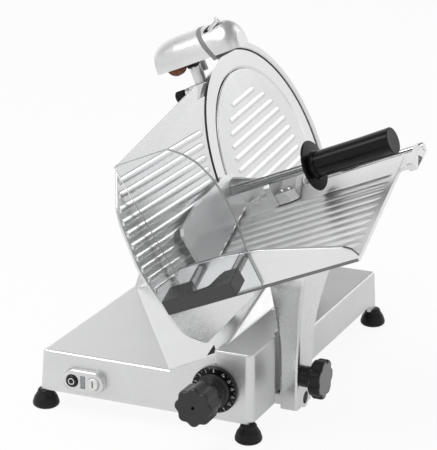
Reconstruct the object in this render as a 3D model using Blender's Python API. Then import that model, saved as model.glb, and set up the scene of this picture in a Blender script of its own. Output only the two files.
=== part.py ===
"""Gravity-feed meat slicer with a tilted 300 mm blade, built as an assembly of its real pieces.

Lengths are metres. +X runs to the operator's right along the front face, +Y away from the
operator along the carriage's travel, and +Z up. While it is modelled, the part's zero point is
the ground under the front left foot. At the end the whole part is moved so that its zero point
is the middle of its footprint on the ground.

Two sloping frames carry most of the pieces:
  slope(d, y, u)  d along the blade's axis, y towards the back, u up the blade's face
  tray(d, s, h)   d from the blade's face along the tray's fold, s up the ribbed plate, h off it
"""

import bpy
import bmesh
from math import acos, atan2, cos, hypot, pi, radians, sin, tan
from mathutils import Matrix, Vector

# Clearances
SEAT = 0.0003
RUN = 0.0006
SWEEP = 0.0020

# Blade
TILT = radians(23.1)
BLADE_RADIUS = 0.150
BLADE_D = 0.2552
BLADE_Y = 0.3122
BLADE_U = 0.1685
BLADE_DISH = 0.0034
BLADE_DISH_RADIUS = 0.1285
BLADE_THICKNESS = 0.0040
COVER_RADIUS = 0.1244
COVER_THICKNESS = 0.0030
COVER_RIB_COUNT = 13
COVER_RIB_PITCH = 0.0149
COVER_RIB_REACH = 0.0985
COVER_RIB_HEIGHT = 0.0009
COVER_RIB_WIDTH = 0.0060

# Base casting
BASE_LEFT = -0.0045
BASE_RIGHT = 0.2765
BASE_FRONT = -0.0055
BASE_REAR = 0.439
BASE_BOTTOM = 0.024
BASE_TOP = 0.077
BASE_DRAFT = 0.0045
BASE_WALL = 0.0045
BLOCK_LEFT = 0.241
BLOCK_RIGHT = 0.281
BLOCK_TOP = 0.113
BLOCK_DEPTH = 0.078
RAMP_START = 0.172
RAMP_BACK = 0.250
RAMP_SLOPE = 0.36
TERRACE_BACK = 0.150
CHANNEL_LEFT = 0.2385
CHANNEL_SILL = 0.033
FOOT_RADIUS = 0.0167
FOOT_INSET_X = 0.274
FOOT_INSET_Y = 0.433

# Motor pod and drive
POD_D = 0.1994
POD_TOP_U = 0.120
POD_FRONT = 0.234
POD_FRONT_TOP = 0.290
POD_BACK_TOP = 0.388
POD_BACK = 0.425
MOTOR_Y = 0.335
MOTOR_U = 0.066
MOTOR_RADIUS = 0.045
MOTOR_LENGTH = 0.112
MOTOR_SHAFT_RADIUS = 0.007
BLADE_PULLEY_RADIUS = 0.050
MOTOR_PULLEY_RADIUS = 0.015
BELT_WIDTH = 0.012
BELT_THICKNESS = 0.0025
HOUSING_BACK = 0.1997
HOUSING_FACE = 0.2400
HOUSING_PLATE = 0.0060
HOUSING_WALL = 0.0060
GUARD_RING = 0.012
GUARD_RADIUS = BLADE_RADIUS + GUARD_RING
GUARD_PROUD = 0.0022
SPINDLE_RADIUS = 0.010
SPINDLE_BORE = 0.0045
BEARING_RADIUS = 0.0175
BEARING_WIDTH = 0.012

# Gauge plate, outline measured from the blade's centre
GAUGE_THICKNESS = 0.0045
GAUGE_TRAVEL = 0.015
GAUGE_RIB_HEIGHT = 0.0016
GAUGE_RIB_PITCH = 0.0147
GAUGE_RIB_TOP = 0.2455
GAUGE_RIB_COUNT = 10
GAUGE_GAP = 0.0020
GAUGE_ROD_RADIUS = 0.006
GAUGE_ROD_Y = 0.040
GAUGE_ARM_Y = 0.098
GAUGE_ROD_U = -0.027
SLEEVE_LOW = 0.1725
SLEEVE_HIGH = 0.2269
CAM_LOW = 0.0120
DIAL_TURN = 330

# Carriage
TRAY_FRONT_Y = -0.012
TRAY_FOLD_U = 0.0693
TRAY_PITCH = radians(16.3)
TRAY_GAP = 0.0042
TRAY_LENGTH = 0.2290
TRAY_WIDTH = 0.2285
TRAY_BOTTOM = -0.0005
TRAY_THICKNESS = 0.0055
TRAY_RIB_COUNT = 11
TRAY_RIB_PITCH = 0.01665
TRAY_RIB_HEIGHT = 0.0015
FRONT_PLATE_HEIGHT = 0.0550
FRONT_PLATE_LOW = 0.0220
GUARD_SHEET = 0.0040
STANDOFFS = (0.0385, 0.0958)
STANDOFF_H = 0.0475
GUIDE_ROD_RADIUS = 0.009
GUIDE_ROD_X = 0.2555
GUIDE_ROD_Z = 0.050
ARM_BOTTOM = 0.014

# Pusher
ROD_OVERHANG = 0.0120
ROD_S = TRAY_WIDTH + ROD_OVERHANG
ROD_H = 0.0020
ROD_RADIUS = 0.0050
EAR_LEFT = 0.0135
SHAFT_FORWARD = 0.0425
SHAFT_S = ROD_S - SHAFT_FORWARD
SHAFT_H = 0.0405
SHAFT_RADIUS = 0.0056
BLOCK_LOW = 0.0550
BLOCK_HIGH = 0.0840
BLOCK_TOP_H = 0.0205
PUSHER_D = 0.0046
PUSHER_PLATE = 0.0050
GRIP_START = 0.1290
GRIP_LENGTH = 0.1090
GRIP_RADIUS = 0.0163
GRIP_FLANGE = 0.0320

# Controls
DIAL_X = 0.2335
DIAL_Z = 0.0635
DIAL_RADIUS = 0.0290
DIAL_THICKNESS = 0.0060
KNOB_RADIUS = 0.0245
KNOB_LOBES = 8
KNOB_REACH = 0.0660
SWITCH_X = 0.0595
SWITCH_Z = 0.0460
SWITCH_WIDTH = 0.0560
SWITCH_HEIGHT = 0.0290

# Sharpener
SHARPENER_Y = 0.2720
SHARPENER_LOW = 0.3205
SHARPENER_TOP = 0.3630
SHELL_LOW = 0.3245
SEAM_MIDDLE = 0.3430
SEAM_LEAN = 0.43
SHARPENER_HALF = 0.0290
POST_SETBACK = 0.0312
POST_D = BLADE_D - POST_SETBACK
POST_RADIUS = 0.0080
KNOB_U = 0.2870
SOCKET_SIDE = 0.0235

AXIS = Vector((cos(TILT), 0, sin(TILT)))
BACK = Vector((0, 1, 0))
RISE = Vector((-sin(TILT), 0, cos(TILT)))
RIGHT = Vector((1, 0, 0))
UP = Vector((0, 0, 1))
TRAY_S = BACK * cos(TRAY_PITCH) + RISE * sin(TRAY_PITCH)
TRAY_H = RISE * cos(TRAY_PITCH) - BACK * sin(TRAY_PITCH)
BUTTON_AXIS = (AXIS * 0.80 + RISE * 0.55 + BACK * 0.25).normalized()


def slope(d, y, u):
    """Point at d along the blade's axis, y to the back and u up the blade's face."""
    return AXIS * d + BACK * y + RISE * u


def tray(d, s, h):
    """Point at d past the blade's face, s up the ribbed plate and h off its surface."""
    return slope(BLADE_D + d, TRAY_FRONT_Y, TRAY_FOLD_U) + TRAY_S * s + TRAY_H * h


# Materials

def material(name, colour, roughness, metallic):
    made = bpy.data.materials.new(name)
    made.use_nodes = True
    shader = made.node_tree.nodes["Principled BSDF"]
    shader.inputs["Base Color"].default_value = (*colour, 1)
    shader.inputs["Roughness"].default_value = roughness
    shader.inputs["Metallic"].default_value = metallic
    return made


# Mesh tools

def mesh_of(loops, closed_ends=True, ring=False):
    """Skin a row of point loops of equal count. A loop of one point is a pole."""
    bm = bmesh.new()
    rows = [[bm.verts.new(p) for p in loop] for loop in loops]
    pairs = list(zip(rows, rows[1:]))
    if ring:
        pairs.append((rows[-1], rows[0]))
    for low, high in pairs:
        count = max(len(low), len(high))
        for i in range(count):
            j = (i + 1) % count
            if len(low) == 1:
                bm.faces.new((low[0], high[j], high[i]))
            elif len(high) == 1:
                bm.faces.new((low[i], low[j], high[0]))
            else:
                bm.faces.new((low[i], low[j], high[j], high[i]))
    if closed_ends and not ring:
        for row in (rows[0], rows[-1]):
            if len(row) > 2:
                bm.faces.new(row)
    bmesh.ops.recalc_face_normals(bm, faces=bm.faces)
    return bm


def prism(outline, place, low, high):
    """Extrude a closed outline of (a, b) pairs; place(a, b, c) gives a point."""
    return mesh_of([[place(a, b, c) for a, b in outline] for c in (low, high)])


def block(x, y, z):
    """Box from three (low, high) pairs."""
    outline = [(x[0], y[0]), (x[1], y[0]), (x[1], y[1]), (x[0], y[1])]
    return prism(outline, lambda a, b, c: Vector((a, b, c)), *z)


def turned(profile, centre, axis, sides, closed=False):
    """Turn (radius, distance) pairs round an axis. A closed profile makes a ring."""
    axis = axis.normalized()
    across = axis.orthogonal().normalized()
    side = axis.cross(across)
    loops = []
    for radius, distance in profile:
        if radius == 0:
            loops.append([centre + axis * distance])
            continue
        loops.append([centre + axis * distance
                      + (across * cos(2 * pi * i / sides) + side * sin(2 * pi * i / sides)) * radius
                      for i in range(sides)])
    return mesh_of(loops, ring=closed)


def rod(radius, centre, axis, low, high, sides=24, chamfer=0.0):
    """Plain round bar, with its ends chamfered when a chamfer is given."""
    if not chamfer:
        return turned([(radius, low), (radius, high)], centre, axis, sides)
    profile = [(radius - chamfer, low), (radius, low + chamfer),
               (radius, high - chamfer), (radius - chamfer, high)]
    return turned(profile, centre, axis, sides)


def tube(outer, inner, centre, axis, low, high, sides=24):
    profile = [(inner, low), (outer, low), (outer, high), (inner, high)]
    return turned(profile, centre, axis, sides, closed=True)


def arc(centre, radius, start, end, steps):
    """Points on an arc of (a, b) pairs; the angles are degrees."""
    turn = [radians(start + (end - start) * i / steps) for i in range(steps + 1)]
    return [(centre[0] + radius * cos(t), centre[1] + radius * sin(t)) for t in turn]


def rounded(points, radius, steps=4):
    """Closed outline with its corners filleted. A radius can be given for each corner."""
    radii = radius if isinstance(radius, (list, tuple)) else [radius] * len(points)
    outline = []
    for i, point in enumerate(points):
        here = Vector(point)
        before = (Vector(points[i - 1]) - here)
        after = (Vector(points[(i + 1) % len(points)]) - here)
        half = before.angle(after) / 2
        if radii[i] <= 0 or half > radians(88):
            outline.append(tuple(here))
            continue
        cut = min(radii[i] / tan(half), before.length * 0.48, after.length * 0.48)
        true_radius = cut * tan(half)
        start = here + before.normalized() * cut
        end = here + after.normalized() * cut
        middle = here + (before.normalized() + after.normalized()).normalized() * (true_radius / sin(half))
        first, last = start - middle, end - middle
        sweep = first.angle(last)
        for k in range(steps + 1):
            share = k / steps
            mix = first * sin((1 - share) * sweep) + last * sin(share * sweep)
            outline.append(tuple(middle + mix / sin(sweep)))
    return outline


def rectangle(a, b):
    return [(a[0], b[0]), (a[1], b[0]), (a[1], b[1]), (a[0], b[1])]


def stadium(width, height, steps=7):
    """Slot outline, round at both ends, centred on zero."""
    radius = height / 2
    reach = width / 2 - radius
    return arc((reach, 0), radius, -90, 90, steps) + arc((-reach, 0), radius, 90, 270, steps)


def hull(points, round_edge=0.0, segments=2, keep=None):
    """Convex solid round the points, with its edges rounded."""
    bm = bmesh.new()
    for point in points:
        bm.verts.new(point)
    bmesh.ops.convex_hull(bm, input=bm.verts)
    loose = [v for v in bm.verts if not v.link_faces]
    bmesh.ops.delete(bm, geom=loose, context="VERTS")
    bmesh.ops.dissolve_limit(bm, angle_limit=radians(1), verts=bm.verts, edges=bm.edges)
    if round_edge:
        sharp = [e for e in bm.edges if e.calc_face_angle(0) > radians(8) and (keep is None or keep(e))]
        bmesh.ops.bevel(bm, geom=sharp, offset=round_edge, segments=segments, profile=0.5,
                        affect="EDGES", clamp_overlap=True)
    bmesh.ops.recalc_face_normals(bm, faces=bm.faces)
    return bm


def soften(bm, width, segments=1, angle=30):
    """Round every edge of a solid that is sharper than the angle."""
    sharp = [e for e in bm.edges if len(e.link_faces) == 2 and e.calc_face_angle(0) > radians(angle)]
    bmesh.ops.bevel(bm, geom=sharp, offset=width, segments=segments, profile=0.5,
                    affect="EDGES", clamp_overlap=True)
    bmesh.ops.recalc_face_normals(bm, faces=bm.faces)
    return bm


def together(*meshes):
    """Put separate solids into one mesh."""
    joined = bmesh.new()
    for bm in meshes:
        part = bpy.data.meshes.new("part")
        bm.to_mesh(part)
        joined.from_mesh(part)
        bm.free()
        bpy.data.meshes.remove(part)
    return joined


# Object tools

def body(name, bm, finish, pivot=None, crease=35):
    """Turn a mesh into a named piece. A moving piece has its origin on its joint's axis."""
    mesh = bpy.data.meshes.new(name)
    bm.to_mesh(mesh)
    bm.free()
    if pivot is not None:
        mesh.transform(Matrix.Translation(-pivot))
    mesh.materials.append(finish)
    mesh.shade_smooth()
    mesh.set_sharp_from_angle(angle=radians(crease))
    piece = bpy.data.objects.new(name, mesh)
    if pivot is not None:
        piece.location = pivot
    bpy.context.scene.collection.objects.link(piece)
    return piece


def tool(name, bm):
    """A cutter or a lump to be joined, which isn't a piece of its own."""
    mesh = bpy.data.meshes.new(name)
    bm.to_mesh(mesh)
    bm.free()
    piece = bpy.data.objects.new(name, mesh)
    bpy.context.scene.collection.objects.link(piece)
    piece.hide_render = True
    piece.display_type = "WIRE"
    return piece


def combine(piece, operation, meshes):
    for bm in meshes:
        index = len(piece.modifiers)
        helper = tool("{}_{}_{}".format(piece.name, operation.lower(), index), bm)
        modifier = piece.modifiers.new(helper.name, "BOOLEAN")
        modifier.operation = operation
        modifier.solver = "EXACT"
        modifier.object = helper


def cut(piece, *meshes):
    combine(piece, "DIFFERENCE", meshes)


def join(piece, *meshes):
    combine(piece, "UNION", meshes)


# Base

def ramp_height(x, y):
    """Height of the slice ramp over a point of the base."""
    run = hypot(RAMP_START, RAMP_BACK - BASE_FRONT)
    uphill = ((RAMP_BACK - BASE_FRONT) / run, RAMP_START / run)
    return BASE_TOP + RAMP_SLOPE * ((x - RAMP_START) * uphill[0] + (y - BASE_FRONT) * uphill[1])


def ramp_crest(y):
    """Where the ramp meets the hump's right wall, which falls at 45 degrees to the terrace."""
    left, right = RAMP_START, BLOCK_LEFT
    for _ in range(40):
        middle = (left + right) / 2
        if ramp_height(middle, y) < BLOCK_TOP + BLOCK_LEFT - middle:
            left = middle
        else:
            right = middle
    return Vector((left, y, ramp_height(left, y)))


def base_casting(finish):
    inset = BASE_DRAFT
    low = [(BASE_LEFT, BASE_FRONT), (BASE_RIGHT, BASE_FRONT), (BASE_RIGHT, BASE_REAR), (BASE_LEFT, BASE_REAR)]
    high = [(BASE_LEFT + inset, BASE_FRONT), (BASE_RIGHT - 0.001, BASE_FRONT),
            (BASE_RIGHT - 0.001, BASE_REAR - inset), (BASE_LEFT + inset, BASE_REAR - inset)]
    tray_body = hull([Vector((x, y, BASE_BOTTOM)) for x, y in low] + [Vector((x, y, BASE_TOP)) for x, y in high],
                     0.004, 2, keep=lambda e: max(v.co.z for v in e.verts) > BASE_BOTTOM + 0.001)
    casting = body("base_casting", tray_body, finish)

    sunk = BASE_TOP - 0.012
    block_low, block_high = BASE_BOTTOM, BLOCK_TOP
    corner = [(BLOCK_LEFT - 0.010, BASE_FRONT), (BLOCK_RIGHT, BASE_FRONT),
              (BLOCK_RIGHT, BLOCK_DEPTH), (BLOCK_LEFT - 0.010, BLOCK_DEPTH)]
    dial_block = soften(prism(rounded(corner, [0, 0.006, 0.016, 0], 4),
                              lambda a, b, c: Vector((a, b, c)), block_low, block_high), 0.0030, 1, 60)
    terrace = soften(block((BLOCK_LEFT - 0.010, BASE_RIGHT - 0.001), (BASE_FRONT + 0.02, TERRACE_BACK),
                           (sunk, BLOCK_TOP)), 0.003, 1)
    crests = [ramp_crest(y) for y in (0.030, 0.085, POD_FRONT + 0.010)]
    foot_line = [(RAMP_START, BASE_FRONT + 0.0005), (BLOCK_LEFT + 0.006, BASE_FRONT + 0.0005)]
    hump_points = [Vector((x, y, sunk)) for x, y in foot_line]
    hump_points += [Vector((RAMP_START, BASE_FRONT + 0.0005, BASE_TOP)),
                    Vector((BLOCK_LEFT, BASE_FRONT + 0.0005, BLOCK_TOP - 0.002)),
                    Vector((BLOCK_LEFT, POD_FRONT + 0.010, BLOCK_TOP)),
                    Vector((BLOCK_LEFT, POD_FRONT + 0.010, sunk)),
                    Vector((0.004, RAMP_BACK - 0.004, BASE_TOP)), Vector((0.004, RAMP_BACK - 0.004, sunk))]
    hump = hull(hump_points + crests, 0.0025, 1)
    join(casting, dial_block, terrace, hump, motor_pod(0))

    cut(casting,
        block((BASE_LEFT + 0.006, 0.2325), (BASE_FRONT + BASE_WALL, BASE_REAR - BASE_DRAFT - BASE_WALL),
              (BASE_BOTTOM - 0.01, BASE_TOP - BASE_WALL)),
        block((0.2200, BLOCK_RIGHT - BASE_WALL - 0.002), (BASE_FRONT + BASE_WALL, BLOCK_DEPTH - 0.010),
              (BASE_BOTTOM - 0.01, BLOCK_TOP - BASE_WALL)),
        block((CHANNEL_LEFT, BASE_RIGHT - BASE_WALL), (BLOCK_DEPTH, BASE_REAR - BASE_DRAFT - BASE_WALL),
              (BASE_BOTTOM - 0.01, BASE_TOP - BASE_WALL)),
        block((BASE_RIGHT - 0.02, BLOCK_RIGHT + 0.01), (BLOCK_DEPTH - 0.002, BASE_REAR - 0.024),
              (BASE_BOTTOM - 0.01, CHANNEL_SILL)),
        motor_pod(BASE_WALL))
    scoop = BLADE_RADIUS + 0.015
    cut(casting, rod(scoop, slope(0, BLADE_Y, BLADE_U), AXIS, HOUSING_FACE - HOUSING_PLATE - 0.004, 0.34, 48))
    cut(casting,
        rod(MOTOR_SHAFT_RADIUS + 0.002, slope(0, MOTOR_Y, MOTOR_U), AXIS, POD_D - 0.012, POD_D + 0.012, 20),
        block((0.160, 0.2030), (GAUGE_ARM_Y - 0.013, GAUGE_ARM_Y + 0.013), (BASE_TOP - 0.02, BASE_TOP + 0.06)),
        rod(0.0050 + RUN, Vector((DIAL_X, 0, DIAL_Z)), BACK, BASE_FRONT - 0.01, BASE_FRONT + 0.012, 20),
        rod(GAUGE_ROD_RADIUS + 0.0090, slope(0, GAUGE_ROD_Y, GAUGE_ROD_U), AXIS, 0.1560, 0.2350, 14),
        rod(CAM_LOW + GAUGE_TRAVEL + 0.0030, Vector((DIAL_X, 0, DIAL_Z)), BACK, 0.028, 0.046, 24),
        block((SWITCH_X - 0.0240, SWITCH_X + 0.0240), (BASE_FRONT - 0.01, BASE_FRONT + 0.012),
              (SWITCH_Z - 0.0105, SWITCH_Z + 0.0105)),
        rod(0.0080 + SEAT, Vector((0.060, 0, 0.052)), BACK, BASE_REAR - 0.02, BASE_REAR + 0.01, 12),
        rod(GUIDE_ROD_RADIUS + SEAT, Vector((GUIDE_ROD_X, 0, GUIDE_ROD_Z)), BACK, 0.060, 0.082, 16))
    return casting


def motor_pod(inset):
    """Raised cover over the motor, as a convex lump, or its hollow when an inset is given."""
    sunk = BASE_TOP - (0.010 if not inset else BASE_TOP - BASE_BOTTOM + 0.005)
    right = POD_D - inset
    top_u = POD_TOP_U - inset
    left_x = 0.003 + inset * 1.4

    def at(x, y, z):
        return Vector((x, y, z))

    def on_right(y, u):
        return slope(right, y, u)

    foot_u = (sunk - right * sin(TILT)) / cos(TILT)
    left_top_d = (left_x + top_u * sin(TILT)) / cos(TILT)
    points = []
    for low_y, high_y in ((POD_FRONT + inset, POD_FRONT_TOP + inset), (POD_BACK - inset, POD_BACK_TOP - inset)):
        points += [at(left_x, low_y, sunk), on_right(low_y, foot_u),
                   slope(left_top_d, high_y, top_u), on_right(high_y, top_u)]
    return hull(points, 0.0 if inset else 0.005, 2)


def bottom_cover(finish):
    edge = 0.0005
    outline = rounded(rectangle((BASE_LEFT + 0.006 + edge, 0.2325 - edge),
                                (BASE_FRONT + BASE_WALL + edge, BASE_REAR - BASE_DRAFT - BASE_WALL - edge)), 0.004)
    cover = body("bottom_cover", prism(outline, lambda a, b, c: Vector((a, b, c)),
                                       BASE_BOTTOM + 0.0005, BASE_BOTTOM + 0.0020), finish)
    slots = [block((0.060 + 0.018 * i, 0.068 + 0.018 * i), (0.250, 0.310), (BASE_BOTTOM - 0.01, BASE_BOTTOM + 0.01))
             for i in range(5)]
    bosses = [rod(0.0125, Vector((x, y, 0)), UP, BASE_BOTTOM - 0.01, BASE_BOTTOM + 0.01, 12)
              for x, y in ((0, 0), (0, FOOT_INSET_Y))]
    cut(cover, together(*slots), together(*bosses))
    return cover


def foot(name, x, y, finish):
    height = BASE_BOTTOM - SEAT
    profile = [(0, 0), (FOOT_RADIUS - 0.0035, 0), (FOOT_RADIUS, 0.0030), (FOOT_RADIUS, 0.0065),
               (FOOT_RADIUS - 0.0022, 0.0130), (FOOT_RADIUS - 0.0060, 0.0190), (0.0095, height), (0, height)]
    return body(name, turned(profile, Vector((x, y, 0)), UP, 16), finish)


# Blade, housing and drive

def blade_housing(finish):
    centre = slope(0, BLADE_Y, BLADE_U)

    def on_plate(a, b, c):
        return slope(c, BLADE_Y + a, BLADE_U + b)

    low = BLADE_RADIUS - 0.012
    plate = arc((0, 0), GUARD_RADIUS, -74, 86, 20) + arc((0, 0), low, 88, 284, 18)
    housing = body("blade_housing", prism(plate, on_plate, HOUSING_FACE - HOUSING_PLATE, HOUSING_FACE), finish)
    down = (MOTOR_Y - BLADE_Y, MOTOR_U - BLADE_U)
    outer = around_two((0, 0), BLADE_PULLEY_RADIUS + 0.014, down, MOTOR_PULLEY_RADIUS + 0.016, 10)
    inner = around_two((0, 0), BLADE_PULLEY_RADIUS + 0.008, down, MOTOR_PULLEY_RADIUS + 0.010, 10)
    hub = BEARING_RADIUS + 0.008
    join(housing, soften(prism(outer, on_plate, HOUSING_BACK, HOUSING_FACE - 0.001), 0.003, 1, 60),
         turned([(0, HOUSING_BACK - 0.026), (hub - 0.004, HOUSING_BACK - 0.026), (hub, HOUSING_BACK - 0.020),
                 (hub + 0.004, HOUSING_BACK + 0.002), (0, HOUSING_BACK + 0.002)], centre, AXIS, 18))
    cut(housing, prism(inner, on_plate, HOUSING_BACK + HOUSING_WALL, HOUSING_FACE + 0.01),
        rod(BEARING_RADIUS + SEAT, centre, AXIS, HOUSING_BACK - 0.023, HOUSING_BACK + HOUSING_WALL + 0.01, 18),
        rod(SPINDLE_RADIUS + 0.002, centre, AXIS, HOUSING_BACK - 0.04, HOUSING_BACK, 16),
        rod(MOTOR_SHAFT_RADIUS + 0.002, slope(0, MOTOR_Y, MOTOR_U), AXIS, HOUSING_BACK - 0.02,
            HOUSING_BACK + 0.02, 20))
    socket = soften(prism(rectangle((POST_D - SOCKET_SIDE + 0.0105, HOUSING_FACE - 0.001),
                                    (SHARPENER_Y - 0.015, SHARPENER_Y + 0.015)),
                          lambda a, b, c: slope(a, b, c), BLADE_U + 0.095, SHARPENER_LOW - 0.024), 0.002, 1)
    boss = rod(0.0085, slope(0, SHARPENER_Y, KNOB_U), AXIS, POST_D - SOCKET_SIDE, POST_D - 0.010, 14)
    join(housing, socket)
    join(housing, boss)
    cut(housing, rod(POST_RADIUS + RUN, slope(POST_D, SHARPENER_Y, 0), RISE, SHARPENER_LOW - 0.052,
                     SHARPENER_LOW, 20),
        rod(0.0030 + SEAT, slope(0, SHARPENER_Y, KNOB_U), AXIS, POST_D - 0.035, POST_D, 16))
    return housing


def around_two(first, first_radius, second, second_radius, steps):
    """Outline of a band round two circles, as (a, b) pairs."""
    reach = hypot(second[0] - first[0], second[1] - first[1])
    heading = atan2(second[1] - first[1], second[0] - first[0])
    open_angle = acos((first_radius - second_radius) / reach)
    start = (heading + open_angle) * 180 / pi
    end = (heading - open_angle) * 180 / pi
    return arc(first, first_radius, start, end + 360, steps * 2) + arc(second, second_radius, end, start, steps)


def ring_guard(finish):
    inner = BLADE_RADIUS + SWEEP
    outer = GUARD_RADIUS

    def at(a, b, c):
        return slope(c, BLADE_Y + a, BLADE_U + b)

    outline = arc((0, 0), outer, -74, 86, 22) + arc((0, 0), inner, 86, -74, 22)
    return body("ring_guard", soften(prism(outline, at, HOUSING_FACE + SEAT, BLADE_D + GUARD_PROUD), 0.0012, 1, 50),
                finish)


def blade(finish, pivot):
    face = 0.0
    back = -BLADE_THICKNESS
    profile = [(0.0103, face - BLADE_DISH - 0.0026), (BLADE_DISH_RADIUS - 0.004, face - BLADE_DISH),
               (BLADE_DISH_RADIUS, face - 0.0003), (BLADE_RADIUS, face), (BLADE_RADIUS - 0.009, back + 0.0006),
               (BLADE_DISH_RADIUS - 0.002, back - 0.0006), (0.060, back - BLADE_DISH - 0.0016),
               (0.0103, back - BLADE_DISH - 0.0020)]
    return body("blade", turned(profile, slope(BLADE_D, BLADE_Y, BLADE_U), AXIS, 52, closed=True), finish, pivot)


def blade_back():
    """Distance of the blade's hub seat along the axis."""
    return BLADE_D - BLADE_THICKNESS - BLADE_DISH - 0.0020


def cover_disc(finish):
    seat = BLADE_D - BLADE_DISH + RUN
    face = seat + COVER_THICKNESS
    profile = [(0, seat), (COVER_RADIUS, seat), (COVER_RADIUS, face - 0.0010), (COVER_RADIUS - 0.0012, face),
               (0, face)]
    disc = body("blade_cover", turned(profile, slope(0, BLADE_Y, BLADE_U), AXIS, 48), finish)
    lean = radians(4.6)
    along = Vector((cos(lean), sin(lean)))
    across = Vector((-sin(lean), cos(lean)))
    ribs = []
    for i in range(COVER_RIB_COUNT):
        offset = COVER_RIB_PITCH * (i - (COVER_RIB_COUNT - 1) / 2)
        half = (COVER_RIB_REACH ** 2 - offset ** 2) ** 0.5
        w = COVER_RIB_WIDTH / 2
        outline = [(-half * 0.93, -w), (half, -w), (half, w), (-half * 0.93, w)]
        points = [along * a + across * (b + offset) for a, b in outline]
        top = [along * a * 0.995 + across * (b * 0.5 + offset) for a, b in outline]
        ribs.append(mesh_of([[slope(face - 0.0006, BLADE_Y + p.x, BLADE_U + p.y) for p in points],
                             [slope(face + COVER_RIB_HEIGHT, BLADE_Y + p.x, BLADE_U + p.y) for p in top]]))
    join(disc, together(*ribs))
    join(disc, rod(SPINDLE_BORE - 0.0015, slope(0, BLADE_Y, BLADE_U), AXIS, HOUSING_BACK - 0.034, seat + 0.001, 12))
    return disc


def cover_knob(finish, pivot):
    """Knob on the tie rod that draws the cover disc in through the hollow spindle."""
    back = HOUSING_BACK - 0.026 - SEAT
    outline = lobed(0.0170, 0.0018, 6, 24)
    knob = mesh_of([[slope(back - c, BLADE_Y + a * k, BLADE_U + b * k) for a, b in outline]
                    for c, k in ((0.0030, 1.0), (0.0165, 1.0), (0.0180, 0.92))])
    piece = body("blade_cover_knob", knob, finish, pivot)
    join(piece, rod(0.0145, slope(back, BLADE_Y, BLADE_U), AXIS, -0.0042, 0, 16))
    cut(piece, rod(SPINDLE_BORE - 0.0015 + SEAT, slope(0, BLADE_Y, BLADE_U), AXIS, back - 0.0095, back + 0.01, 16))
    return piece


def lobed(radius, depth, lobes, steps):
    """Round outline with shallow hollows between its lobes."""
    points = []
    for i in range(steps):
        t = 2 * pi * i / steps
        r = radius - depth * (1 - abs(cos(lobes * t / 2))) ** 0.8
        points.append((r * cos(t), r * sin(t)))
    return points


def blade_pulley(finish, pivot):
    face = blade_back() - SEAT
    rim = BLADE_PULLEY_RADIUS
    mid = HOUSING_BACK + HOUSING_WALL + 0.0165
    half = BELT_WIDTH / 2 + 0.0025
    profile = [(SPINDLE_RADIUS + SEAT, face), (0.0240, face), (0.0240, mid + 0.006), (rim - 0.006, mid + 0.004),
               (rim - 0.006, mid + half), (rim + 0.0016, mid + half), (rim, mid + half - 0.0020),
               (rim, mid - half + 0.0020), (rim + 0.0016, mid - half), (rim - 0.006, mid - half),
               (rim - 0.006, mid - 0.002), (0.0180, mid - 0.003), (SPINDLE_RADIUS + SEAT, mid - half)]
    return body("blade_pulley", turned(profile, slope(0, BLADE_Y, BLADE_U), AXIS, 22, closed=True), finish, pivot)


def blade_spindle(finish, pivot):
    low = HOUSING_BACK - 0.0245
    high = blade_back() + BLADE_THICKNESS * 0.6
    return body("blade_spindle", tube(SPINDLE_RADIUS, SPINDLE_BORE, slope(0, BLADE_Y, BLADE_U), AXIS, low, high, 20),
                finish, pivot)


def bearing(name, low, finish):
    centre = slope(0, BLADE_Y, BLADE_U)
    outer, inner = BEARING_RADIUS, SPINDLE_RADIUS + SEAT
    high = low + BEARING_WIDTH
    middle = (inner + outer) / 2
    groove = 0.0012
    profile = [(inner, low), (middle, low + groove), (outer, low), (outer, high), (middle, high - groove),
               (inner, high)]
    return body(name, turned(profile, centre, AXIS, 18, closed=True), finish)


def motor(finish):
    axis_point = slope(0, MOTOR_Y, MOTOR_U)
    face = POD_D - BASE_WALL - SEAT
    back = face - MOTOR_LENGTH
    r = MOTOR_RADIUS
    profile = [(0, back), (0.020, back), (r - 0.010, back + 0.003), (r - 0.003, back + 0.012), (r, back + 0.018),
               (r, face - 0.022), (r - 0.003, face - 0.018), (r - 0.006, face - 0.006), (0.022, face - 0.003),
               (0.022, face), (MOTOR_SHAFT_RADIUS + RUN, face), (MOTOR_SHAFT_RADIUS + RUN, face - 0.010),
               (0, face - 0.010)]
    return body("motor", turned(profile, axis_point, AXIS, 18), finish)


def motor_pulley(finish, pivot):
    low = POD_D - BASE_WALL - 0.0095
    mid = HOUSING_BACK + HOUSING_WALL + 0.0165
    half = BELT_WIDTH / 2 + 0.0025
    r = MOTOR_PULLEY_RADIUS
    profile = [(0, low), (MOTOR_SHAFT_RADIUS, low), (MOTOR_SHAFT_RADIUS, mid - half), (r + 0.0016, mid - half),
               (r, mid - half + 0.0020), (r, mid + half - 0.0020), (r + 0.0016, mid + half), (0.008, mid + half),
               (0.007, mid + half + 0.003), (0, mid + half + 0.003)]
    return body("motor_pulley", turned(profile, slope(0, MOTOR_Y, MOTOR_U), AXIS, 14), finish, pivot)


def drive_belt(finish):
    mid = HOUSING_BACK + HOUSING_WALL + 0.0165
    down = (MOTOR_Y - BLADE_Y, MOTOR_U - BLADE_U)

    def at(a, b, c):
        return slope(c, BLADE_Y + a, BLADE_U + b)

    loops = []
    for grow in (SEAT, SEAT + BELT_THICKNESS):
        loops.append(around_two((0, 0), BLADE_PULLEY_RADIUS + grow, down, MOTOR_PULLEY_RADIUS + grow, 10))
    inner, outer = loops
    half = BELT_WIDTH / 2
    rows = [[at(a, b, c) for a, b in loop] for loop, c in
            ((inner, mid - half), (outer, mid - half), (outer, mid + half), (inner, mid + half))]
    return body("drive_belt", mesh_of(rows, ring=True), finish)


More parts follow.
